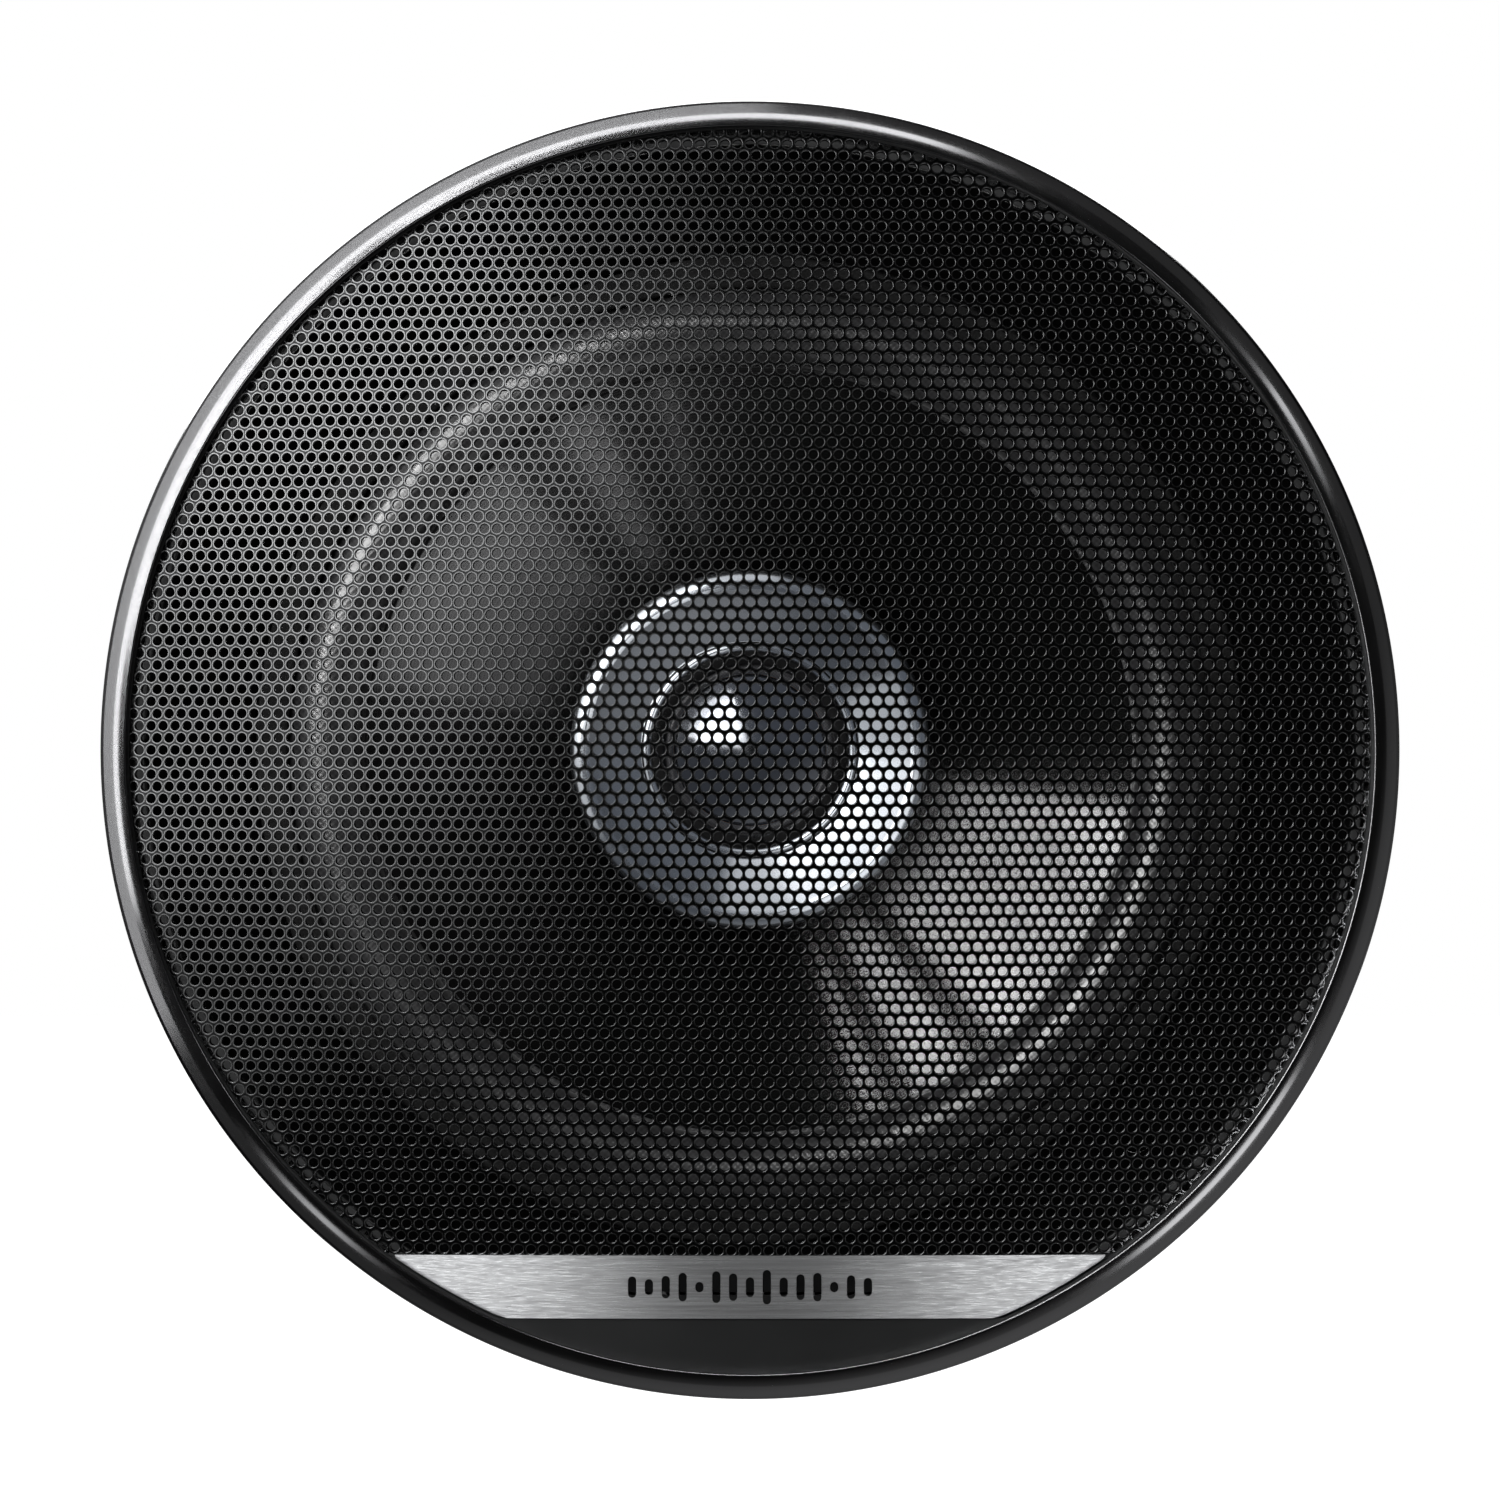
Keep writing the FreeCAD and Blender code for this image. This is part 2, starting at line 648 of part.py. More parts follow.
def tinsel_lead(side):
    """Braided flexible lead from a terminal's rivet, over the basket's tab, to the pad behind the cone."""
    x = side * BLADE_X
    start_z = BOARD_FRONT_Z + SMALL_HEAD
    end = behind_cone(side, PAD_THICKNESS + 0.4, 25)
    bend = behind_cone(side, PAD_THICKNESS + 4.6, 25)
    return tube(
        [
            (x, TERMINAL_RIVET_Y, start_z),
            (x, TERMINAL_RIVET_Y - 0.2, start_z + 6.6),
            (x, TERMINAL_RIVET_Y - 7.6, start_z + 7.4),
            (x, TERMINAL_RIVET_Y - 14.0, start_z + 3.4),
            tuple(bend),
            tuple(end),
        ],
        TINSEL_R,
    )


# ---- Terminals and crossover -----------------------------------------------------------------------------


def terminal_board():
    """Insulating board behind the basket's tab."""
    board = block((-TAB_HALF_WIDTH, TAB_HALF_WIDTH), BOARD_Y, (BOARD_BACK_Z, BOARD_FRONT_Z))
    corners = [e for e in board.Edges if abs(e.tangentAt(e.FirstParameter).z) > 0.99]
    board = board.makeFillet(1.5, corners)
    places = [(s * BOARD_RIVET[0], BOARD_RIVET[1]) for s in (-1, 1)]
    places += [(s * BLADE_X, TERMINAL_RIVET_Y) for s in (-1, 1)]
    return board.cut([rod(SMALL_RIVET_R, -25, -10, x, y) for x, y in places])


def terminal_blade(name, side):
    """Push-on blade: a pad riveted under the board and a tongue that points to the rear."""
    width = BLADE_WIDTHS[name]
    x = side * BLADE_X
    span = (x - width / 2, x + width / 2)
    pad = block(span, (BLADE_PAD_Y, BLADE_Y), (BOARD_BACK_Z - BLADE_THICKNESS, BOARD_BACK_Z))
    tongue = block(span, (BLADE_Y - BLADE_THICKNESS, BLADE_Y), (BLADE_TIP_Z, BOARD_BACK_Z))
    tips = [
        e
        for e in tongue.Edges
        if e.BoundBox.ZMax < BLADE_TIP_Z + 0.01 and e.BoundBox.YLength > BLADE_THICKNESS / 2
    ]
    tongue = tongue.makeFillet(0.9, tips)
    detent = Part.makeCylinder(0.8, 4, V(x, BLADE_Y - 2, BLADE_TIP_Z + 3.2), V(0, 1, 0))
    rivet_hole = rod(SMALL_RIVET_R, -25, -10, x, TERMINAL_RIVET_Y)
    return joined([pad, tongue]).cut([detent, rivet_hole])


def small_rivet(x, y, z_low, z_high):
    """Shank with a flat head at each end."""
    shank = rod(SMALL_RIVET_R, z_low, z_high, x, y)
    heads = [
        rod(SMALL_HEAD_R, z_high, z_high + SMALL_HEAD, x, y),
        rod(SMALL_HEAD_R, z_low - SMALL_HEAD, z_low, x, y),
    ]
    return joined([shank] + heads)


def terminal_rivets():
    """Rivets through the blades and board, which the tinsel leads are soldered to."""
    low = BOARD_BACK_Z - BLADE_THICKNESS
    return group(small_rivet(s * BLADE_X, TERMINAL_RIVET_Y, low, BOARD_FRONT_Z) for s in (-1, 1))


def board_rivets():
    """Rivets that hold the terminal board on the basket's tab."""
    x, y = BOARD_RIVET
    return group(small_rivet(s * x, y, BOARD_BACK_Z, LEDGE_Z) for s in (-1, 1))


def crossover_capacitor():
    """Can of the tweeter's capacitor, lying behind the board, with the crimped groove near one end."""
    half = CAPACITOR_LENGTH / 2
    r = CAPACITOR_R
    can = lathe(
        (0, -half),
        (r - 0.4, -half),
        ((r - 0.12, -half + 0.12), (r, -half + 0.4)),
        (r, half - 2.6),
        ((r - 0.5, half - 2.1), (r, half - 1.6)),
        (r, half - 0.4),
        ((r - 0.12, half - 0.12), (r - 0.4, half)),
        (0, half),
    )
    can.rotate(ORIGIN, V(0, 1, 0), 90)
    can.translate(V(0, CAPACITOR_Y, CAPACITOR_Z))
    return can


def splice_point():
    """Where the capacitor's wire meets the tweeter's lead."""
    return (CAPACITOR_LENGTH / 2 + 4.0, CAPACITOR_Y, CAPACITOR_Z - 4.0)


def capacitor_wires():
    """Bare wires from the capacitor: one to the positive blade, one to the tweeter lead's splice."""
    half = CAPACITOR_LENGTH / 2
    pad_z = BOARD_BACK_Z - BLADE_THICKNESS
    x, y, z = splice_point()
    to_blade = tube(
        [
            (-half, CAPACITOR_Y, CAPACITOR_Z),
            (-half - 4.0, CAPACITOR_Y, CAPACITOR_Z),
            (-half - 2.5, CAPACITOR_Y + 8.3, CAPACITOR_Z - 0.6),
            (-half - 2.4, CAPACITOR_Y + 8.4, pad_z),
        ],
        CAPACITOR_WIRE_R,
    )
    to_splice = tube([(half, y, CAPACITOR_Z), (x, y, CAPACITOR_Z), (x, y, z)], CAPACITOR_WIRE_R)
    return group([to_blade, to_splice])


def tweeter_leads():
    """Two insulated cores: down the post, out behind the magnet and round its edge to the board."""
    back_z = BACK_PLATE_Z[0] - LEAD_R - 0.15
    side_y = MAGNET_R + LEAD_R + 0.4
    pad_z = BOARD_BACK_Z - BLADE_THICKNESS
    splice = splice_point()
    pad_y = BLADE_Y - BLADE_THICKNESS - LEAD_R - 0.15
    cores = []
    for side in (-1, 1):
        x = side * LEAD_SPACING
        shared = [
            (x, 0, TWEETER_PLATE_Z + 0.4),
            (x, 0.02, back_z + 8.2),
            (x, 0, back_z),
            (x, 8.2, back_z),
            (x, side_y - 0.5, back_z + 0.02),
            (x, side_y + 0.1, back_z + 8.2),
        ]
        if side > 0:
            ends = [(splice[0], splice[1], splice[2] - 7.0), splice]
        else:
            ends = [(3.0, 51.5, -33.4), (BLADE_X, pad_y, -30.6), (BLADE_X, pad_y + 0.02, pad_z)]
        cores.append(tube(shared + ends, LEAD_R))
    return group(cores)


def splice_sleeve():
    """Shrink sleeve over the joint of the capacitor's wire and the tweeter's lead."""
    return ring(LEAD_R + 0.05, LEAD_R + 0.45, -1.6, 1.4).translated(V(*splice_point()))


def lead_saddle():
    """Glued saddle that holds the tweeter's leads flat on the back plate."""
    low = BACK_PLATE_Z[0]
    slot_x = LEAD_SPACING + LEAD_R + 0.05
    slot_z = low - 2 * LEAD_R - 0.2
    body = block((-4.5, 4.5), (21, 27), (slot_z - 0.7, low))
    rims = [e for e in body.Edges if e.BoundBox.ZMax < slot_z and e.BoundBox.YLength > 3]
    slot = block((-slot_x, slot_x), (20, 28), (slot_z, low + 1))
    return body.makeFillet(0.6, rims).cut(slot)


# ---- Tweeter ---------------------------------------------------------------------------------------------


def tweeter_post():
    """Hollow post: a spigot through the pole with a flared mouth, a stem, and a flange under the cup."""
    low = BACK_PLATE_Z[0] + 0.15
    flange_low = CUP_LOW_Z - POST_FLANGE
    return lathe(
        (POST_MOUTH_R, low),
        (BORE_R - 0.02, low),
        (BORE_R - 0.02, POLE_TOP_Z),
        (POST_STEM_R, POLE_TOP_Z),
        (POST_STEM_R, flange_low - 2.5),
        ((POST_STEM_R + 0.75, flange_low - 0.75), (POST_STEM_R + 2.5, flange_low)),
        (POST_FLANGE_R, flange_low),
        (POST_FLANGE_R, CUP_LOW_Z),
        (POST_HOLE_R, CUP_LOW_Z),
        (POST_HOLE_R, low + 1.4),
    )


def post_nut():
    """Hexagon nut in the yoke's pocket, which draws the post tight."""
    low = BACK_PLATE_Z[0] + 0.05
    corner_r = NUT_ACROSS_FLATS / math.sqrt(3)
    corners = [V(x, y, low) for x, y in on_circle(corner_r, 6)]
    prism = Part.Face(Part.makePolygon(corners + corners[:1])).extrude(V(0, 0, NUT_POCKET_DEPTH - 0.05))
    return prism.cut(rod(BORE_R - 0.01, low - 1, low + 5))


def tweeter_cup():
    """Black plastic cup around the tweeter's motor."""
    top = HORN_FOOT_Z
    return lathe(
        (POST_HOLE_R, CUP_LOW_Z),
        (CUP_R - 1.0, CUP_LOW_Z),
        ((CUP_R - 0.29, CUP_LOW_Z + 0.29), (CUP_R, CUP_LOW_Z + 1.0)),
        (CUP_R, top),
        (CUP_R - CUP_WALL, top),
        (CUP_R - CUP_WALL, CUP_LOW_Z + CUP_FLOOR),
        (POST_HOLE_R, CUP_LOW_Z + CUP_FLOOR),
    )


def tweeter_yoke():
    """Steel cup of the tweeter's magnet system."""
    low = CUP_LOW_Z + CUP_FLOOR
    inner = TWEETER_YOKE_R - TWEETER_YOKE_WALL
    return lathe(
        (POST_HOLE_R, low),
        (TWEETER_YOKE_R, low),
        (TWEETER_YOKE_R, TWEETER_PLATE_Z),
        (inner, TWEETER_PLATE_Z),
        (inner, low + TWEETER_YOKE_FLOOR),
        (POST_HOLE_R, low + TWEETER_YOKE_FLOOR),
    )


def tweeter_magnet():
    """Neodymium disc."""
    low = CUP_LOW_Z + CUP_FLOOR + TWEETER_YOKE_FLOOR
    return ring(POST_HOLE_R, TWEETER_MAGNET_R, low, TWEETER_PLATE_Z - TWEETER_PLATE)


def tweeter_pole_plate():
    """Steel disc on the tweeter's magnet."""
    return ring(POST_HOLE_R, TWEETER_PLATE_R, TWEETER_PLATE_Z - TWEETER_PLATE, TWEETER_PLATE_Z)


def tweeter_seat_ring():
    """Spacer that the dome's rim sits on."""
    return ring(10.9, TWEETER_YOKE_R, TWEETER_PLATE_Z, DOME_RIM_Z)


def tweeter_clamp_ring():
    """Black ring that clamps the dome's rim."""
    low, high = CLAMP_Z
    inner = DOME_ROLL_R + 0.1
    outer = THROAT_R - 0.05
    return lathe(
        (inner, low),
        (outer, low),
        (outer, high - 0.15),
        (outer - 0.15, high),
        (inner + 0.25, high),
        (inner, high - 0.25),
    )


def tweeter_horn():
    """Silver horn: rounded throat ridge, concave dish and a rolled lip."""
    wall = 1.2
    lip_r = HORN_R - 1.5
    back_foot = RIDGE_R + 0.9
    return lathe(
        (THROAT_R, HORN_FOOT_Z),
        (CUP_R, HORN_FOOT_Z),
        (back_foot, HORN_FOOT_Z + 0.3),
        ((19.7, 7.6), (lip_r + 0.4, HORN_LIP_Z - 2.4)),
        (HORN_R - 0.3, HORN_LIP_Z - 1.9),
        (HORN_R, HORN_LIP_Z - 0.9),
        ((HORN_R - 0.62, HORN_LIP_Z - 0.05), (lip_r, HORN_LIP_Z - 0.4)),
        ((18.9, 7.9), (RIDGE_R + 0.1, HORN_FOOT_Z + wall + 0.35)),
        (RIDGE_R, HORN_FOOT_Z + 2.0),
        (((THROAT_R + RIDGE_R) / 2, HORN_FOOT_Z + 2.6), (THROAT_R, HORN_FOOT_Z + 2.0)),
    )


def tweeter_dome():
    """Dome of the tweeter's diaphragm."""
    r = TWEETER_COIL_R + 0.2
    low = DOME_RIM_Z
    sphere_r = (r**2 + DOME_HEIGHT**2) / (2 * DOME_HEIGHT)
    centre_z = low + DOME_HEIGHT - sphere_r
    mid = r / 2

    def height(radius, inset):
        return centre_z + math.sqrt((sphere_r - inset) ** 2 - radius**2)

    r_inside = math.sqrt((sphere_r - DOME_FILM) ** 2 - (low - centre_z) ** 2)
    return lathe(
        (r_inside, low),
        (r, low),
        ((mid, height(mid, 0)), (0, height(0, 0))),
        (0, height(0, DOME_FILM)),
        ((mid, height(mid, DOME_FILM)), (r_inside, low)),
    )


def tweeter_coil():
    """Tweeter's voice coil: a short former with a thin winding near its rear end."""
    former = ring(TWEETER_COIL_R, TWEETER_COIL_R + 0.2, 1.2, DOME_RIM_Z)
    winding = ring(TWEETER_COIL_R + 0.1, TWEETER_COIL_R + 0.42, 1.5, 2.9)
    return joined([former, winding])


def tweeter_dome_surround():
    """Small half-roll between the dome and its clamped rim."""
    t = 0.15
    low = DOME_RIM_Z
    inner = DOME_RIM_R + 0.05
    mid = (inner + DOME_ROLL_R) / 2
    return lathe(
        (inner, low),
        (inner + t, low),
        ((mid, low + DOME_ROLL_HEIGHT - t), (DOME_ROLL_R - t, low)),
        (TWEETER_YOKE_R, low),
        (TWEETER_YOKE_R, low + t),
        (DOME_ROLL_R, low + t),
        ((mid, low + DOME_ROLL_HEIGHT), (inner, low + t)),
    )


# ---- Every node, and its export --------------------------------------------------------------------------

NODES = {
    "grille_trim_ring": grille_trim_ring,
    "grille_mesh": grille_mesh,
    "grille_base": grille_base,
    "badge_plate": badge_plate,
    "badge_mark": badge_mark,
    "basket": basket,
    "mounting_ring": mounting_ring,
    "surround_gasket": surround_gasket,
    "magnet": magnet,
    "top_plate": top_plate,
    "yoke": yoke,
    "basket_rivets": basket_rivets,
    "cone": cone,
    "surround": surround,
    "voice_coil_former": voice_coil_former,
    "voice_coil_winding": voice_coil_winding,
    "spider": spider,
    "tinsel_pads": tinsel_pads,
    "tinsel_lead_positive": lambda: tinsel_lead(-1),
    "tinsel_lead_negative": lambda: tinsel_lead(1),
    "terminal_board": terminal_board,
    "terminal_positive": lambda: terminal_blade("terminal_positive", -1),
    "terminal_negative": lambda: terminal_blade("terminal_negative", 1),
    "terminal_rivets": terminal_rivets,
    "board_rivets": board_rivets,
    "crossover_capacitor": crossover_capacitor,
    "capacitor_wires": capacitor_wires,
    "tweeter_leads": tweeter_leads,
    "splice_sleeve": splice_sleeve,
    "lead_saddle": lead_saddle,
    "tweeter_post": tweeter_post,
    "post_nut": post_nut,
    "tweeter_cup": tweeter_cup,
    "tweeter_yoke": tweeter_yoke,
    "tweeter_magnet": tweeter_magnet,
    "tweeter_pole_plate": tweeter_pole_plate,
    "tweeter_seat_ring": tweeter_seat_ring,
    "tweeter_clamp_ring": tweeter_clamp_ring,
    "tweeter_horn": tweeter_horn,
    "tweeter_dome": tweeter_dome,
    "tweeter_coil": tweeter_coil,
    "tweeter_dome_surround": tweeter_dome_surround,
}


def main():
    os.makedirs("parts", exist_ok=True)
    for name, make in NODES.items():
        shape = make().copy()
        shape.rotate(ORIGIN, V(1, 0, 0), 90)
        solids = shape.Solids
        sound = shape.isValid() and solids and all(s.Volume > 0 for s in solids)
        print(f"{name}: {len(solids)} solid(s), {shape.Volume:.1f} mm3{'' if sound else '  NOT SOUND'}")
        shape.exportStep(f"parts/{name}.step")


main()
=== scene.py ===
"""Coaxial car speaker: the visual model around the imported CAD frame.

Local millimetres are used for shapes: x to the right, y up, z out of the speaker's face, with z = 0 on the
flange's rear face. row() turns them into the frame's metres. Radii and heights come from the CAD boxes.
"""

import cmath
import math

import bmesh
import bpy
import numpy as np
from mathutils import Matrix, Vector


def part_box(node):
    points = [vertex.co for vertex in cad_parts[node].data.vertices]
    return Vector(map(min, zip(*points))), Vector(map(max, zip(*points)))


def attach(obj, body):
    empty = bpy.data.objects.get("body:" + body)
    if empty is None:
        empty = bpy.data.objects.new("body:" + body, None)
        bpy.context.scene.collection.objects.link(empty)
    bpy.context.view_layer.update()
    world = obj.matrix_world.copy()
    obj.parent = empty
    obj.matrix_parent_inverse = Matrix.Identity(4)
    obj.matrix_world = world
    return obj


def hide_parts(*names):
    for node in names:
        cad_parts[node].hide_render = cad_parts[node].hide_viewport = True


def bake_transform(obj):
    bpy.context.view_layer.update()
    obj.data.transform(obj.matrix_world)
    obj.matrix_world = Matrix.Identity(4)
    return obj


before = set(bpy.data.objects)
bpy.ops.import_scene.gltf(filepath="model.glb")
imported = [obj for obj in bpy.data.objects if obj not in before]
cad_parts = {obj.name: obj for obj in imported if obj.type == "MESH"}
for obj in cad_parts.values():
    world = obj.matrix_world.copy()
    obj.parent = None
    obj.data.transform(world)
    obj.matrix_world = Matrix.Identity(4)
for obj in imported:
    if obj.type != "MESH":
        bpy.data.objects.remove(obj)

MM = 0.001
TAU = 2 * math.pi
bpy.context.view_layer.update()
scene = bpy.context.scene

# Door screws, in millimetres: the radius of the circle that they lie on, and of their holes.
SCREW_CIRCLE_R, SCREW_HOLE_R = 71.5, 2.25


class Box:
    """A CAD node's box in local millimetres: its height range, depth range and radius about the axis."""

    def __init__(self, node):
        lo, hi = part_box(node)
        self.y0, self.y1 = lo.z / MM, hi.z / MM
        self.z0, self.z1 = -hi.y / MM, -lo.y / MM
        self.r = hi.x / MM


def row(p):
    return (p[0] * MM, -p[2] * MM, p[1] * MM)


# ---- Mesh helpers --------------------


def arc(start, via, end, n=12):
    """Points of the arc through three (r, z) points, without the first."""
    a, b, c = (complex(*p) for p in (start, via, end))
    w = (c - a) / (b - a)
    centre = a + (b - a) * (w - abs(w) ** 2) / (w - w.conjugate())
    to_via, to_end = (cmath.phase((p - centre) / (a - centre)) % TAU for p in (b, c))
    sweep = to_end if to_via < to_end else to_end - TAU
    points = [centre + (a - centre) * cmath.rect(1, sweep * i / n) for i in range(1, n + 1)]
    return [(p.real, p.imag) for p in points]


def outline(start, *steps, n=12):
    """A closed outline in the CAD source's notation: a step is a point, or (via, end) for an arc."""
    points = [start]
    for step in steps:
        points += arc(points[-1], *step, n=n) if isinstance(step[0], tuple) else [step]
    return points


def eased(points, radius, n=3, least_turn=0.3, closed=True):
    """Rounds an outline's sharper corners."""
    out = []
    count = len(points)
    for i, p in enumerate(points):
        if not closed and i in (0, count - 1):
            out.append(p)
            continue
        a, b = points[i - 1], points[(i + 1) % count]
        u, v = (a[0] - p[0], a[1] - p[1]), (b[0] - p[0], b[1] - p[1])
        lu, lv = math.hypot(*u), math.hypot(*v)
        if lu < 1e-6 or lv < 1e-6:
            continue
        cosine = max(-1, min(1, (u[0] * v[0] + u[1] * v[1]) / (lu * lv)))
        turn = math.pi - math.acos(cosine)
        if turn < least_turn or p[0] < 1e-6:
            out.append(p)
            continue
        trim = min(radius * math.tan(turn / 2), 0.4 * lu, 0.4 * lv)
        s = (p[0] + u[0] / lu * trim, p[1] + u[1] / lu * trim)
        e = (p[0] + v[0] / lv * trim, p[1] + v[1] / lv * trim)
        for k in range(n + 1):
            t = k / n
            w0, w1, w2 = (1 - t) ** 2, 2 * t * (1 - t), t**2
            out.append((w0 * s[0] + w1 * p[0] + w2 * e[0], w0 * s[1] + w1 * p[1] + w2 * e[1]))
    return out


def spaced(points, step, closed=True):
    """Adds points along an outline's long straight runs."""
    out = []
    ends = points[1:] + (points[:1] if closed else [])
    for p, q in zip(points, ends):
        count = max(1, int(math.hypot(q[0] - p[0], q[1] - p[1]) / step))
        out += [(p[0] + (q[0] - p[0]) * k / count, p[1] + (q[1] - p[1]) * k / count) for k in range(count)]
    return out if closed else out + [points[-1]]


def lathe_data(points, segments=192, closed=True):
    """Vertices and faces of an outline turned about the axis."""
    verts, faces, rings = [], [], []
    for r, z in points:
        count = 1 if r < 1e-6 else segments
        rings.append([len(verts) + k % count for k in range(segments)])
        for k in range(count):
            a = TAU * k / segments
            verts.append((r * math.cos(a), r * math.sin(a), z))
    pairs = list(zip(rings, rings[1:])) + ([(rings[-1], rings[0])] if closed else [])
    for a, b in pairs:
        for k in range(segments):
            k2 = (k + 1) % segments
            face = tuple(dict.fromkeys((a[k], a[k2], b[k2], b[k])))
            if len(face) > 2:
                faces.append(face)
    return verts, faces


def new_object(name, data):
    obj = bpy.data.objects.new(name, data)
    scene.collection.objects.link(obj)
    return obj


def mesh_object(name, verts, faces, smooth=35, tidy=True):
    """A mesh object from local-millimetre vertices, smooth but for edges sharper than the given angle."""
    mesh = bpy.data.meshes.new(name)
    mesh.from_pydata([row(v) for v in verts], [], faces)
    if tidy:
        bm = bmesh.new()
        bm.from_mesh(mesh)
        bmesh.ops.remove_doubles(bm, verts=bm.verts, dist=1e-7)
        bmesh.ops.recalc_face_normals(bm, faces=bm.faces)
        bm.to_mesh(mesh)
        bm.free()
    obj = new_object(name, mesh)
    soften(obj, smooth)
    return obj


def soften(obj, angle=35):
    obj.data.polygons.foreach_set("use_smooth", [True] * len(obj.data.polygons))
    obj.data.set_sharp_from_angle(angle=math.radians(angle))


def merged(parts):
    """One list of vertices and faces from several."""
    verts, faces = [], []
    for v, f in parts:
        base = len(verts)
        verts += v
        faces += [tuple(i + base for i in face) for face in f]
    return verts, faces


def placed(obj, body, material, slot, *nodes):
    """Gives a piece its material and its body, and hides the CAD nodes that it stands for. The slot is not
    used.
    """
    obj.data.materials.clear()
    obj.data.materials.append(material)
    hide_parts(*nodes)
    if body:
        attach(obj, body)
    return obj


def modified(obj, kind, **settings):
    m = obj.modifiers.new(kind.lower(), kind)
    for key, value in settings.items():
        setattr(m, key, value)


def bevelled(obj, width, least_angle):
    """Rounds the edges that turn by more than an angle in degrees. The width is in metres."""
    limit = math.radians(least_angle)
    modified(obj, "BEVEL", width=width, segments=2, limit_method="ANGLE", angle_limit=limit)


def baked(obj):
    """Replaces a piece's mesh by what its modifiers make of it."""
    depsgraph = bpy.context.evaluated_depsgraph_get()
    mesh = bpy.data.meshes.new_from_object(obj.evaluated_get(depsgraph))
    obj.modifiers.clear()
    obj.data = mesh


def cut_out(obj, shapes, width, least_angle, smooth):
    """Cuts closed shapes out of a piece, and rounds the edges of what is left."""
    cutter = mesh_object(obj.name + "_cutter", *merged(shapes))
    modified(obj, "BOOLEAN", operation="DIFFERENCE", object=cutter, solver="EXACT")
    bevelled(obj, width, least_angle)
    baked(obj)
    bpy.data.objects.remove(cutter)
    soften(obj, smooth)


def block_data(x, y, z):
    """Vertices and faces of a box."""
    verts = [(x[i], y[j], z[k]) for i in (0, 1) for j in (0, 1) for k in (0, 1)]
    faces = [(0, 1, 3, 2), (4, 6, 7, 5), (0, 4, 5, 1), (2, 3, 7, 6), (0, 2, 6, 4), (1, 5, 7, 3)]
    return verts, faces


def grid_faces(rows, cols, first=0):
    """Faces of a grid whose vertices are numbered row by row."""
    corners = [first + i * (cols + 1) + j for i in range(rows) for j in range(cols)]
    return [(k, k + 1, k + cols + 2, k + cols + 1) for k in corners]


def tube(inner, outer, low, high):
    """The outline of a plain ring."""
    return [(inner, low), (outer, low), (outer, high), (inner, high)]


def turned_piece(name, points, segments, angle, body, look, slot, node, ease=(0.3,), step=None):
    """A piece turned from an outline: ease is its corners' radius, their points and the least turn."""
    if ease:
        points = eased(points, *ease)
    if step:
        points = spaced(points, step)
    obj = mesh_object(name, *lathe_data(points, segments), angle)
    return placed(obj, body, look, slot, node)


def rod_data(r, z_low, z_high, x=0, y=0, n=32):
    """Vertices and faces of a capped pin parallel to the axis."""
    circle = [(x + r * math.cos(TAU * k / n), y + r * math.sin(TAU * k / n)) for k in range(n)]
    verts = [(px, py, z) for z in (z_low, z_high) for px, py in circle]
    faces = [(k, (k + 1) % n, n + (k + 1) % n, n + k) for k in range(n)]
    return verts, faces + [tuple(range(n))[::-1], tuple(range(n, 2 * n))]


def screw_rods(r, z_low, z_high, n, turn=0.5):
    """Four pins on the door screws' circle: at the screws, or between them with turn=0."""
    rods = []
    for i in range(4):
        a = TAU * (i + turn) / 4
        rods.append(rod_data(r, z_low, z_high, SCREW_CIRCLE_R * math.cos(a), SCREW_CIRCLE_R * math.sin(a), n))
    return rods


# ---- Material helpers --------------------


def add_node(tree, kind, inputs=None, **settings):
    """Adds a shader node. Its inputs are values, or other nodes' sockets to link."""
    n = tree.nodes.new(kind)
    for key, value in settings.items():
        setattr(n, key, value)
    for key, value in (inputs or {}).items():
        if isinstance(value, bpy.types.NodeSocket):
            tree.links.new(value, n.inputs[key])
        else:
            n.inputs[key].default_value = value
    return n


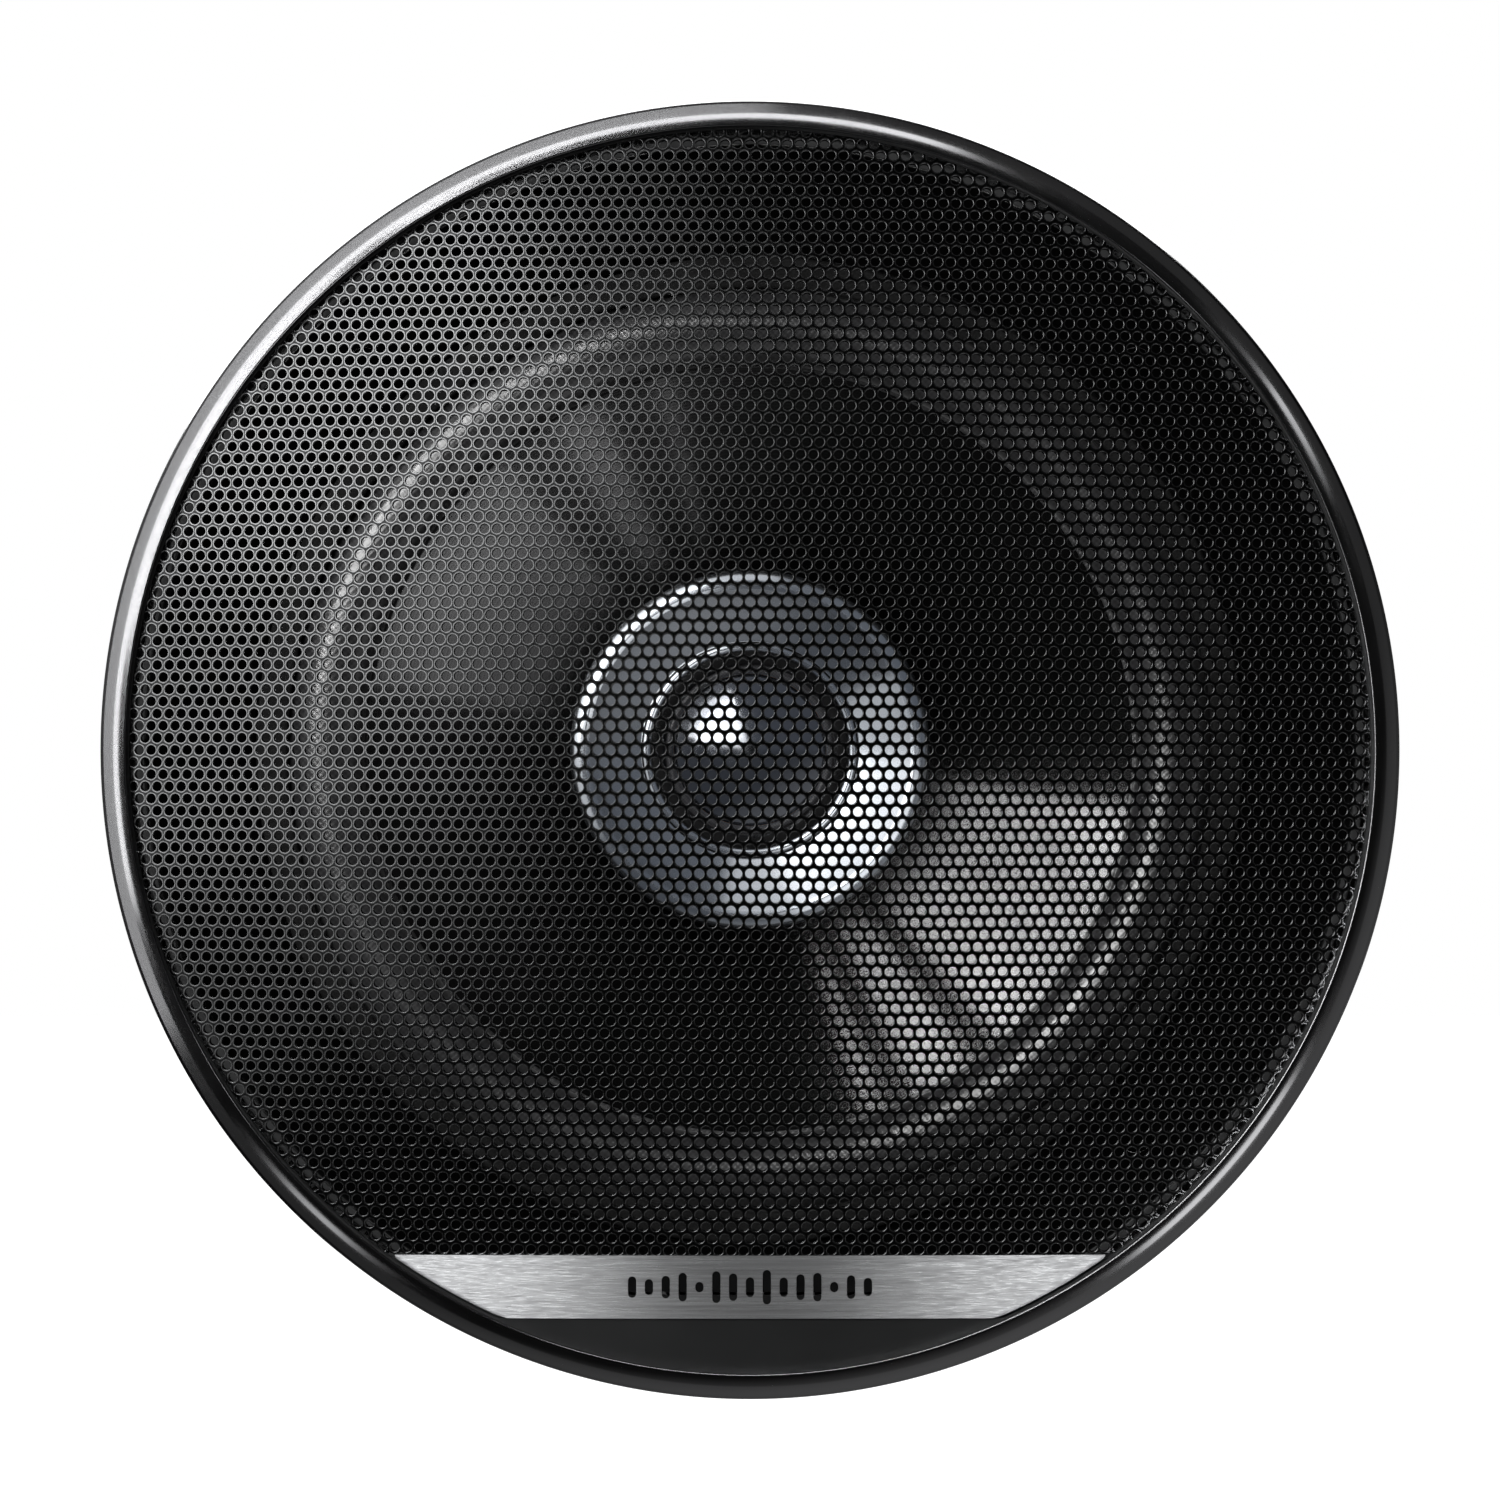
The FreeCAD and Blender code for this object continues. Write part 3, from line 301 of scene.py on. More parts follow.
class Finish:
    """A Principled material whose colour, roughness and relief are built up from procedural nodes."""

    def __init__(self, name, color, rough, metal=0, **constants):
        self.material = bpy.data.materials.new(name)
        self.material.use_nodes = True
        self.tree = self.material.node_tree
        self.shader = self.tree.nodes["Principled BSDF"]
        values = {"Base Color": (*color, 1), "Roughness": rough, "Metallic": metal, **constants}
        for key, value in values.items():
            self.shader.inputs[key.replace("_", " ")].default_value = value
        self.place = self.node("ShaderNodeTexCoord").outputs["Object"]

    def node(self, kind, inputs=None, **settings):
        return add_node(self.tree, kind, inputs, **settings)

    def drive(self, socket, source):
        self.tree.links.new(source, self.shader.inputs[socket])

    def math(self, operation, *values):
        return self.node("ShaderNodeMath", dict(enumerate(values)), operation=operation).outputs[0]

    def scaled(self, *scale):
        """Object coordinates stretched along each axis."""
        return self.node("ShaderNodeMapping", {"Scale": scale, "Vector": self.place}).outputs[0]

    def noise(self, scale, detail=3, place=None, rough=0.5):
        """Noise of a scale given per metre."""
        inputs = {"Scale": scale, "Detail": detail, "Roughness": rough, "Vector": place or self.place}
        return self.node("ShaderNodeTexNoise", inputs).outputs["Fac"]

    def ramp(self, value, low, high, out_low=0, out_high=1):
        """Maps a range of values onto another, clamped."""
        inputs = {"Value": value, "From Min": low, "From Max": high, "To Min": out_low, "To Max": out_high}
        return self.node("ShaderNodeMapRange", inputs).outputs["Result"]

    def tint(self, factor, color):
        """Blends the base colour towards another by a factor socket."""
        base = self.shader.inputs["Base Color"]
        current = base.links[0].from_socket if base.links else base.default_value[:]
        mix = self.node("ShaderNodeMix", {0: factor, 6: current, 7: (*color, 1)}, data_type="RGBA")
        self.drive("Base Color", mix.outputs[2])

    def clouds(self, scale, detail, color, low=0.35):
        """Patches of another colour."""
        self.tint(self.ramp(self.noise(scale, detail), low, 0.7), color)

    def mottle(self, scale, low, high):
        """Varies roughness between two values by noise."""
        self.drive("Roughness", self.ramp(self.noise(scale), 0.35, 0.65, low, high))

    def bump(self, height, distance, strength=1):
        """Relief: a height socket from 0 to 1 times a distance in metres."""
        n = self.node("ShaderNodeBump", {"Height": height, "Distance": distance, "Strength": strength})
        self.drive("Normal", n.outputs["Normal"])

    def xyz(self):
        """Object coordinates as x, depth and height sockets."""
        return self.node("ShaderNodeSeparateXYZ", {0: self.place}).outputs

    def radius(self):
        """Distance from the speaker's axis."""
        x, _, z = self.xyz()
        return self.math("SQRT", self.math("ADD", self.math("MULTIPLY", x, x), self.math("MULTIPLY", z, z)))

    def ringed(self):
        """Runs the grooves around the speaker's axis, so that highlights fan out from it."""
        self.drive("Tangent", self.node("ShaderNodeTangent", direction_type="RADIAL", axis="Y").outputs[0])
        self.shader.inputs["Anisotropic Rotation"].default_value = 0.25

    def wave(self, value, pitch):
        """A sine from 0 to 1 along a socket measured in metres."""
        swing = self.math("SINE", self.math("MULTIPLY", value, TAU / pitch))
        return self.math("MULTIPLY_ADD", swing, 0.5, 0.5)


def plain(name, color, rough, clouds, mottle, relief, metal=0, **constants):
    """Patches of colour, uneven roughness and noise relief: scale, detail, distance and strength."""
    f = Finish(name, color, rough, metal, **constants)
    f.clouds(*clouds)
    f.mottle(*mottle)
    f.bump(f.noise(*relief[:2]), *relief[2:])
    return f.material


def moulded(name, color, rough, grain):
    """Plastic with a fine moulded grain, faint flow marks and slightly polished wear."""
    flow = tuple(c * 1.35 + 0.002 for c in color)
    wear = (260, rough * 0.88, rough * 1.15)
    return plain(name, color, rough, (35, 3, flow), wear, (9000, 2, grain, 0.5))


def turned_steel(name, color, rough):
    """Metal with turning marks about the speaker's axis, and cloudy plating."""
    f = Finish(name, color, rough, 1, Anisotropic=0.6)
    f.clouds(60, 5, tuple(c * 0.78 for c in color))
    f.mottle(500, rough * 0.8, rough * 1.3)
    marks = f.math("MULTIPLY_ADD", f.noise(2500, 2), 0.3, f.wave(f.radius(), 0.00022))
    f.bump(marks, 0.000005, 0.6)
    f.ringed()
    return f.material


def woven(name, color, light, pitch, rough, depth, **constants):
    """Plain weave in the plane of the speaker's face: two thread directions over and under."""
    f = Finish(name, color, rough, Sheen_Weight=0.35, Sheen_Roughness=0.4, **constants)
    x, _, z = f.xyz()
    warp, weft = (f.math("SINE", f.math("MULTIPLY", way, TAU / pitch)) for way in (x, z))
    weave = f.math("MULTIPLY_ADD", f.math("MULTIPLY", warp, weft), 0.5, 0.5)
    thread = f.math("MULTIPLY_ADD", f.noise(6000), 0.5, weave)
    f.tint(f.ramp(thread, 0.35, 1.2), light)
    f.bump(thread, depth, 0.9)
    return f.material


# ---- Materials --------------------


def make_trim():
    f = Finish("gloss_black", (0.2, 0.2, 0.205), 0.16, 1)
    f.mottle(120, 0.15, 0.19)
    f.clouds(18, 3, (0.22, 0.22, 0.225))
    f.bump(f.noise(60, 2, f.scaled(40, 40, 3)), 0.000001, 0.12)
    return f.material


def make_mesh_paint():
    """Grey paint with a painted highlight round each hole: a lighter colour on the rims stands in for the
    light that they catch.
    """
    f = Finish("grille_paint", (0.042, 0.0435, 0.0445), 0.2, 1)
    f.mottle(900, 0.17, 0.24)
    f.clouds(45, 4, (0.052, 0.0535, 0.0545))
    edge = f.node("ShaderNodeAttribute", attribute_name="hole_edge").outputs["Fac"]
    # Painted highlight: a lighter colour on the hole rims, standing in for the light that they catch.
    f.tint(f.math("POWER", edge, 3), (0.55, 0.555, 0.56))
    f.bump(f.noise(7000, 2), 0.000008, 0.5)
    return f.material


def make_brushed():
    """Aluminium brushed along the badge: long streaks in colour, roughness and relief."""
    f = Finish("brushed_badge", (0.62, 0.63, 0.64), 0.3, 1, Anisotropic=0.75)
    fine = f.noise(1, 6, f.scaled(90, 4000, 9000), 0.7)
    broad = f.noise(1, 4, f.scaled(25, 1500, 2600), 0.6)
    streak = f.math("MULTIPLY_ADD", broad, 0.5, f.math("MULTIPLY", fine, 0.5))
    f.tint(f.ramp(streak, 0.4, 0.62), (0.38, 0.38, 0.39))
    f.drive("Roughness", f.ramp(fine, 0.35, 0.65, 0.24, 0.4))
    f.bump(fine, 0.000005, 0.5)
    f.drive("Tangent", f.node("ShaderNodeCombineXYZ", {2: 1}).outputs[0])
    return f.material


def make_cone():
    """Moulded cone with fine concentric grooves that fan the light out, and painted shade that darkens it
    towards its neck, under the tweeter.
    """
    f = Finish("cone_black", (0.25, 0.25, 0.253), 0.2, 1, Anisotropic=1)
    radius = f.radius()
    f.clouds(80, 4, (0.15, 0.15, 0.153))
    # Painted shade: the colour darkens towards the neck, where the tweeter shades the cone.
    f.tint(f.ramp(radius, 0.046, 0.024), (0.07, 0.07, 0.072))
    f.bump(f.math("MULTIPLY_ADD", f.noise(1400), 0.03, f.wave(radius, 0.00042)), 0.00001, 0.6)
    f.ringed()
    return f.material


def make_horn():
    f = Finish("horn_silver", (0.6, 0.62, 0.65), 0.24, 1, Anisotropic=0.35)
    f.clouds(70, 3, (0.5, 0.53, 0.57))
    f.mottle(120, 0.2, 0.26)
    f.bump(f.wave(f.radius(), 0.0016), 0.000001, 0.3)
    f.ringed()
    return f.material


def make_copper():
    """Wire wound about the axis, turn by turn."""
    f = Finish("copper_wire", (0.74, 0.32, 0.14), 0.28, 1)
    f.clouds(300, 3, (0.55, 0.2, 0.08))
    f.mottle(400, 0.22, 0.36)
    f.bump(f.wave(f.xyz()[1], 0.0003), 0.00006)
    return f.material


def make_braid():
    f = Finish("copper_braid", (0.62, 0.45, 0.28), 0.38, 1)
    x, y, z = f.xyz()
    one_way, other_way = f.math("ADD", y, z), f.math("SUBTRACT", y, x)
    lay = f.math("MULTIPLY", f.wave(one_way, 0.0006), f.wave(other_way, 0.0006))
    f.tint(f.ramp(lay, 0.1, 0.8), (0.3, 0.2, 0.12))
    f.mottle(800, 0.3, 0.5)
    f.bump(lay, 0.00005)
    return f.material


def make_powder_coat():
    """Orange peel and a few handling scuffs."""
    f = Finish("black_powder_coat", (0.016, 0.016, 0.017), 0.42)
    f.clouds(40, 3, (0.024, 0.024, 0.0255))
    f.mottle(300, 0.357, 0.504)
    f.bump(f.noise(1800, 2), 0.00003, 0.6)
    scuffs = f.noise(1, 5, f.scaled(900, 900, 120), 0.65)
    f.tint(f.ramp(scuffs, 0.68, 0.76), (0.06, 0.058, 0.055))
    return f.material


def make_laminate():
    f = Finish("paper_laminate", (0.3, 0.165, 0.07), 0.5)
    layers = f.noise(1, 4, f.scaled(300, 300, 2500))
    f.tint(f.ramp(layers, 0.35, 0.7), (0.2, 0.1, 0.04))
    f.mottle(350, 0.4, 0.6)
    f.bump(f.noise(2500), 0.00002, 0.6)
    return f.material


def plated(name, color, rough):
    """Plated sheet metal: cloudy, with faint rolling marks."""
    f = Finish(name, color, rough, 1)
    f.clouds(150, 4, tuple(c * 0.7 for c in color))
    f.mottle(450, rough * 0.75, rough * 1.4)
    f.bump(f.noise(1, 3, f.scaled(400, 9000, 2500)), 0.00001, 0.5)
    return f.material


def make_sleeve():
    """Capacitor's shrunk sleeve: dark blue, with a pale band at one end and no print."""
    f = Finish("capacitor_sleeve", (0.02, 0.028, 0.06), 0.3)
    x = f.xyz()[0]
    f.mottle(500, 0.24, 0.38)
    f.clouds(200, 3, (0.03, 0.04, 0.08), 0.4)
    f.tint(f.math("MULTIPLY", f.ramp(x, 0.0033, 0.0034), f.ramp(x, 0.0048, 0.0047)), (0.45, 0.47, 0.5))
    f.bump(f.noise(900), 0.00003, 0.6)
    return f.material


def make_foam():
    f = Finish("foam", (0.008, 0.008, 0.008), 0.85)
    cells = f.node("ShaderNodeTexVoronoi", {"Scale": 3500, "Vector": f.place}).outputs["Distance"]
    f.tint(f.ramp(cells, 0.2, 0.6), (0.016, 0.016, 0.016))
    f.mottle(300, 0.75, 0.95)
    f.bump(cells, 0.00006, 0.8)
    return f.material


trim_look = make_trim()
mesh_look = make_mesh_paint()
brushed_look = make_brushed()
cone_look = make_cone()
horn_look = make_horn()
dome_look = plain(
    "dome_film", (0.3, 0.31, 0.33), 0.13, (150, 3, (0.25, 0.26, 0.29)), (700, 0.11, 0.17),
    (2500, 2, 0.000003, 0.3), 1,
)
ferrite_look = plain(
    "ferrite", (0.055, 0.055, 0.058), 0.5, (900, 4, (0.1, 0.1, 0.105), 0.45), (150, 0.42, 0.6),
    (2600, 5, 0.00002, 0.8),
)
copper_look = make_copper()
braid_look = make_braid()
basket_look = make_powder_coat()
panel_look = moulded("satin_grey_plastic", (0.06, 0.061, 0.062), 0.36, 0.000015)
ink_look = moulded("badge_inlay", (0.003, 0.003, 0.0035), 0.5, 0.000002)
plastic_look = moulded("black_plastic", (0.007, 0.007, 0.0075), 0.3, 0.00001)
satin_look = moulded("satin_black_plastic", (0.012, 0.012, 0.013), 0.5, 0.00003)
zinc_look = turned_steel("zinc_plate", (0.56, 0.55, 0.5), 0.3)
black_steel_look = turned_steel("black_plate", (0.1, 0.1, 0.105), 0.34)
cloth_look = woven("coated_cloth", (0.03, 0.03, 0.032), (0.09, 0.09, 0.094), 0.0008, 0.28, 0.000018, IOR=2.7)
small_cloth_look = woven("fine_cloth", (0.05, 0.05, 0.055), (0.12, 0.12, 0.13), 0.0004, 0.4, 0.00002)
spider_look = woven("dipped_cloth", (0.46, 0.34, 0.12), (0.66, 0.52, 0.24), 0.0011, 0.6, 0.0001)
laminate_look = make_laminate()
blade_look = plated("tinned_brass", (0.78, 0.72, 0.55), 0.3)
solder_look = plated("solder", (0.68, 0.68, 0.69), 0.3)
foil_look = plated("former_foil", (0.72, 0.68, 0.6), 0.3)
rivet_look = plated("plated_rivet", (0.6, 0.59, 0.55), 0.32)
nickel_look = plated("nickel_plate", (0.7, 0.68, 0.64), 0.2)
sleeve_look = make_sleeve()
wire_look = plated("tinned_wire", (0.72, 0.71, 0.7), 0.3)
insulation_look = moulded("wire_insulation", (0.02, 0.02, 0.021), 0.42, 0.00001)
shrink_look = moulded("shrink_tube", (0.012, 0.012, 0.012), 0.5, 0.00004)
glue_look = plain(
    "hot_glue", (0.62, 0.52, 0.34), 0.35, (220, 3, (0.5, 0.4, 0.24), 0.4), (400, 0.28, 0.45),
    (350, 2, 0.0002, 0.7), Subsurface_Weight=0.25, Subsurface_Radius=(0.002, 0.0015, 0.001),
)
foam_look = make_foam()


# ---- Camera, light and stage --------------------


def make_camera():
    """A long lens on the speaker's axis, so that the face fills the frame as in a square-on product view."""
    distance, half_height, sensor = 2, 0.0982, 36
    data = bpy.data.cameras.new("camera")
    data.sensor_width = sensor
    data.lens = sensor / 2 * distance / half_height
    data.clip_start, data.clip_end = 0.05, 100
    camera = new_object("camera", data)
    camera.location = (0, -distance - 0.005, 0)
    camera.rotation_euler = (math.pi / 2, 0, 0)
    scene.camera = camera


def emitter(name, color, strength):
    """Glow that other softboxes and the surroundings shine through."""
    material = bpy.data.materials.new(name)
    material.use_nodes = True
    tree = material.node_tree
    tree.nodes.clear()
    glow = add_node(tree, "ShaderNodeEmission", {"Color": (*color, 1), "Strength": strength})
    clear = add_node(tree, "ShaderNodeBsdfTransparent")
    both = add_node(tree, "ShaderNodeAddShader", {0: glow.outputs[0], 1: clear.outputs[0]})
    add_node(tree, "ShaderNodeOutputMaterial", {"Surface": both.outputs[0]})
    return material


def softbox(name, azimuth, tilt, strength, color=(1, 1, 1)):
    """A glowing sector of a sphere round the speaker, in degrees: azimuth is anticlockwise from the right,
    and tilt is away from the speaker's axis. The camera doesn't see it."""
    distance, cols, rows = 900, 24, 12
    verts = []
    for i in range(rows + 1):
        t = math.radians(tilt[0] + (tilt[1] - tilt[0]) * i / rows)
        for j in range(cols + 1):
            a = math.radians(azimuth[0] + (azimuth[1] - azimuth[0]) * j / cols)
            way = (math.sin(t) * math.cos(a), math.sin(t) * math.sin(a), math.cos(t))
            verts.append(tuple(distance * c for c in way))
    obj = mesh_object(name, verts, grid_faces(rows, cols), tidy=False)
    obj.data.materials.append(emitter(name, color, strength))
    obj.visible_camera = obj.visible_shadow = False
    obj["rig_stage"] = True
    return obj


def make_world():
    """White to the camera, and to all else dark but for two broad, soft glows."""
    world = bpy.data.worlds.new("studio")
    scene.world = world
    world.use_nodes = True
    tree = world.node_tree
    tree.nodes.clear()
    way = add_node(tree, "ShaderNodeTexCoord").outputs["Generated"]
    glows = []
    for direction, low, high, strength in (
        ((-0.72, 0.3, 0.63), 0.45, 0.97, 0.3),
        ((0.55, 0.25, -0.8), 0.3, 1, 0.28),
    ):
        dot = add_node(tree, "ShaderNodeVectorMath", {0: way, 1: direction}, operation="DOT_PRODUCT")
        inputs = {"From Min": low, "From Max": high, "To Min": 0.008, "To Max": strength}
        glow = add_node(tree, "ShaderNodeMapRange", {"Value": dot.outputs["Value"], **inputs})
        glows.append(glow.outputs[0])
    total = add_node(tree, "ShaderNodeMath", dict(enumerate(glows)))
    soft = add_node(tree, "ShaderNodeBackground", {"Strength": total.outputs[0]})
    white = add_node(tree, "ShaderNodeBackground", {"Color": (1, 1, 1, 1), "Strength": 1})
    seen = add_node(tree, "ShaderNodeLightPath").outputs["Is Camera Ray"]
    mix = add_node(tree, "ShaderNodeMixShader", {0: seen, 1: soft.outputs[0], 2: white.outputs[0]})
    add_node(tree, "ShaderNodeOutputWorld", {"Surface": mix.outputs[0]})


def make_floor():
    """Pale paper below the speaker, lifted to white for the camera."""
    side, level = 6000, -140
    corners = [(-side, level, -side), (side, level, -side), (side, level, side), (-side, level, side)]
    floor = mesh_object("floor", corners, [(0, 1, 2, 3)])
    paper = Finish("floor_paper", (0.8, 0.8, 0.8), 0.9, Emission_Color=(1, 1, 1, 1))
    seen = paper.node("ShaderNodeLightPath").outputs["Is Camera Ray"]
    paper.drive("Emission Strength", paper.math("MULTIPLY", seen, 1.1))
    floor.data.materials.append(paper.material)
    floor.visible_glossy = floor.visible_diffuse = False
    floor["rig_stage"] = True


def aimed(receivers, *boxes):
    """Softboxes that light only the pieces that they are aimed at."""
    lights = [softbox(*box) for box in boxes]
    group = bpy.data.collections.new(lights[0].name + "_receivers")
    for piece in receivers:
        group.objects.link(piece)
    for light in lights:
        light.light_linking.receiver_collection = group


def make_hole_shade_discs():
    """Dark plastic discs inside the screw holes as painted shade: they stand in for the shadow in the holes,
    so that the white surroundings don't shine through them.
    """
    # Painted shade: dark discs where the holes would show only shadow.
    shade_discs = mesh_object("hole_shade_discs", *merged(screw_rods(SCREW_HOLE_R - 0.01, 1.05, 1.3, 32)))
    shade_discs.data.materials.append(plastic_look)
    shade_discs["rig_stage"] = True


scene.view_settings.view_transform = "Standard"
make_camera()
make_world()
make_floor()
softbox("back_light", (50, 150), (128, 170), 4.5)
softbox("back_fill", (230, 340), (140, 172), 2)
make_hole_shade_discs()


# ---- Grille --------------------

TRIM = Box("grille_trim_ring")
SHEET = Box("grille_mesh")
BASE = Box("grille_base")
PLATE = Box("badge_plate")
DOME_R = 272
SHEET_THICKNESS = 0.8
HOLE_PITCH, HOLE_ROW_STEP = 1.655, 1.61
HOLE_PROFILE = (0.76, 0), (0.7, -0.001), (0.66, -0.012), (0.65, -SHEET_THICKNESS)
SHEET_EDGE_Z = SHEET.z0 + 2
DOME_CENTRE_Z = SHEET_EDGE_Z - math.sqrt(DOME_R**2 - SHEET.r**2)
BADGE_TOP = PLATE.y1
BADGE_BOTTOM = PLATE.y0


def dome_z(x, y, offset=0):
    return DOME_CENTRE_Z + math.sqrt(max(0, (DOME_R + offset) ** 2 - x * x - y * y))


def make_trim_ring():
    low, top, outer = TRIM.z0, TRIM.z1, TRIM.r
    ridge_r, ridge_z, inner, wall = outer - 1.8, top - 0.7, outer - 3.4, outer - 2.2
    points = outline(
        (wall, low), (outer, low), (outer, ridge_z - 1.9),
        ((outer - 0.15, ridge_z - 1.4), (outer - 0.45, ridge_z - 1)),
        (ridge_r + 0.12, ridge_z - 0.06), (ridge_r - 0.12, ridge_z + 0.06), (inner + 0.3, top),
        ((inner + 0.08, top - 0.08), (inner, top - 0.3)),
        (inner, SHEET_EDGE_Z - 0.1), (wall, SHEET_EDGE_Z - 0.1),
    )
    return turned_piece(
        "trim_ring", points, 512, 28,
        "grille", trim_look, "gloss_black_plastic", "grille_trim_ring", (0.12, 3, 0.5),
    )


def sheet_cell():
    """One hexagon of the flat sheet: rings for its edge, its hole's wall and its edge again at the rear."""
    corner_y = (HOLE_ROW_STEP**2 - (HOLE_PITCH / 2) ** 2) / (2 * HOLE_ROW_STEP)
    corners = [(HOLE_PITCH / 2, corner_y), (0, HOLE_ROW_STEP - corner_y), (-HOLE_PITCH / 2, corner_y)]
    corners += [(-x, -y) for x, y in corners]
    edge = []
    for a, b in zip(corners[-1:] + corners[:-1], corners):
        edge += [((a[0] + b[0]) / 2, (a[1] + b[1]) / 2), b]
    n = len(edge)
    start = math.atan2(edge[0][1], edge[0][0])
    circle = [(math.cos(start + TAU * k / n), math.sin(start + TAU * k / n)) for k in range(n)]
    cell = [(x, y, 0) for x, y in edge]
    for radius, height in HOLE_PROFILE:
        cell += [(radius * x, radius * y, height) for x, y in circle]
    return np.array(cell + [(x, y, -SHEET_THICKNESS) for x, y in edge])


def sheet_points(cell):
    """Every cell's points, wrapped onto the dome and kept inside the sheet's outline."""
    reach = DOME_R * math.asin(SHEET.r / DOME_R)
    rows, cols = int(reach / HOLE_ROW_STEP) + 2, int(reach / HOLE_PITCH) + 2
    centres = []
    for j in range(-rows, rows + 1):
        for i in range(-cols, cols + 1):
            x, y = (i + 0.5 * (j % 2)) * HOLE_PITCH, j * HOLE_ROW_STEP
            if math.hypot(x, y) < reach + 0.6 and y > SHEET.y0 - 0.7:
                centres.append((x, y, 0))
    p = (np.array(centres)[:, None, :] + cell[None, :, :]).reshape(-1, 3)
    rho = np.maximum(np.hypot(p[:, 0], p[:, 1]), 1e-9)
    lift = DOME_R + p[:, 2]
    swing = np.sin(rho / DOME_R)
    x, y = lift * swing * p[:, 0] / rho, lift * swing * p[:, 1] / rho
    shrink = np.minimum(1, SHEET.r / np.hypot(x, y))
    x, y = x * shrink, np.maximum(y * shrink, SHEET.y0)
    return np.column_stack((x, y, DOME_CENTRE_Z + np.sqrt(lift**2 - x**2 - y**2)))


def make_perforated_sheet():
    """The domed sheet with every hole: round, with a rim pressed over towards the back."""
    cell = sheet_cell()
    co = sheet_points(cell)
    rings = len(HOLE_PROFILE) + 2
    n = len(cell) // rings
    quads = []
    for ring in range(rings - 1):
        for k in range(n):
            k2 = (k + 1) % n
            quads.append((ring * n + k, ring * n + k2, (ring + 1) * n + k2, (ring + 1) * n + k))
    faces = (np.array(quads)[None] + np.arange(0, len(co), len(cell))[:, None, None]).reshape(-1, 4)

    # Neighbours' edges are welded, and cells crushed against the outline are dropped.
    weld_gap, least_area = 0.004, 2e-4
    keys = np.round(co / weld_gap).astype(np.int64)
    _, first, inverse = np.unique(keys, axis=0, return_index=True, return_inverse=True)
    co, faces = co[first], inverse.reshape(-1)[faces]
    a, b, c, d = (co[faces[:, k]] for k in range(4))
    faces = faces[np.linalg.norm(np.cross(c - a, d - b), axis=1) / 2 > least_area]
    used = np.unique(faces)
    renumber = np.zeros(len(co), np.int64)
    renumber[used] = np.arange(len(used))
    ring_of = (first % len(cell) // n)[used]
    co, faces = co[used], renumber[faces]
    polygons = [tuple(dict.fromkeys(face)) for face in faces.tolist()]
    polygons = [face for face in polygons if len(face) > 2]

    rim_r, rim_in = SHEET.r, SHEET.r - SHEET_THICKNESS
    rim = [(rim_r, SHEET_EDGE_Z - 0.02), (rim_r, SHEET.z0), (rim_in, SHEET.z0), (rim_in, SHEET_EDGE_Z - 0.6)]
    cut = math.degrees(math.asin(-SHEET.y0 / rim_r))
    verts, polygons = merged([(co.tolist(), polygons), arc_strip(rim, -cut, 180 + cut, 300)])
    obj = mesh_object("perforated_grille", verts, polygons, 80, tidy=False)

    # The hole's wall is crisp at both ends, and its rim is marked for a painted highlight: a lighter colour
    # standing in for the light that the rims catch.
    ring_of = np.append(ring_of, np.zeros(len(verts) - len(co), np.int64))
    ends = np.zeros(2 * len(obj.data.edges), np.int64)
    obj.data.edges.foreach_get("vertices", ends)
    crisp = np.isin(ring_of, (2, rings - 2))[ends.reshape(-1, 2)].all(axis=1)
    sharp = obj.data.attributes.get("sharp_edge") or obj.data.attributes.new("sharp_edge", "BOOLEAN", "EDGE")
    before = np.zeros(len(crisp), bool)
    sharp.data.foreach_get("value", before)
    sharp.data.foreach_set("value", before | crisp)
    rim_highlight_mask = np.isin(ring_of, (1, 2, 3)).astype(np.float32)
    obj.data.attributes.new("hole_edge", "FLOAT", "POINT").data.foreach_set("value", rim_highlight_mask)
    obj.visible_shadow = obj.visible_glossy = obj.visible_diffuse = False
    return placed(obj, "grille", mesh_look, "grille_steel", "grille_mesh")


def arc_strip(points, first, last, count):
    """An open outline turned part of the way about the axis."""
    verts, faces = [], []
    for i in range(count + 1):
        a = math.radians(first + (last - first) * i / count)
        verts += [(r * math.cos(a), r * math.sin(a), z) for r, z in points]
    m = len(points)
    for i in range(count):
        for k in range(m - 1):
            j = i * m + k
            faces.append((j, j + m, j + m + 1, j + 1))
    return verts, faces


def chord_patch(y_low, y_high, radius, offset, thickness, rows, cols, corner=0):
    """A closed slab of the grille's dome between two chords, out to a radius."""
    verts = []
    for side in (0, 1):
        for i in range(rows + 1):
            y = y_low + (y_high - y_low) * i / rows
            half = math.sqrt(max(radius**2 - y**2, 0))
            pull = 0
            for limit in (y_low, y_high):
                gap = corner - abs(y - limit)
                if gap > 0:
                    pull = corner - math.sqrt(max(corner**2 - gap**2, 0))
            for j in range(cols + 1):
                x = (half - pull) * (2 * j / cols - 1)
                verts.append((x, y, dome_z(x, y, offset - side * thickness)))
    size = (rows + 1) * (cols + 1)
    faces = grid_faces(rows, cols) + [face[::-1] for face in grid_faces(rows, cols, size)]
    border = list(range(cols + 1))
    border += [i * (cols + 1) + cols for i in range(1, rows + 1)]
    border += [rows * (cols + 1) + j for j in range(cols - 1, -1, -1)]
    border += [i * (cols + 1) for i in range(rows - 1, 0, -1)]
    faces += [(b, a, a + size, b + size) for a, b in zip(border, border[1:] + border[:1])]
    return verts, faces


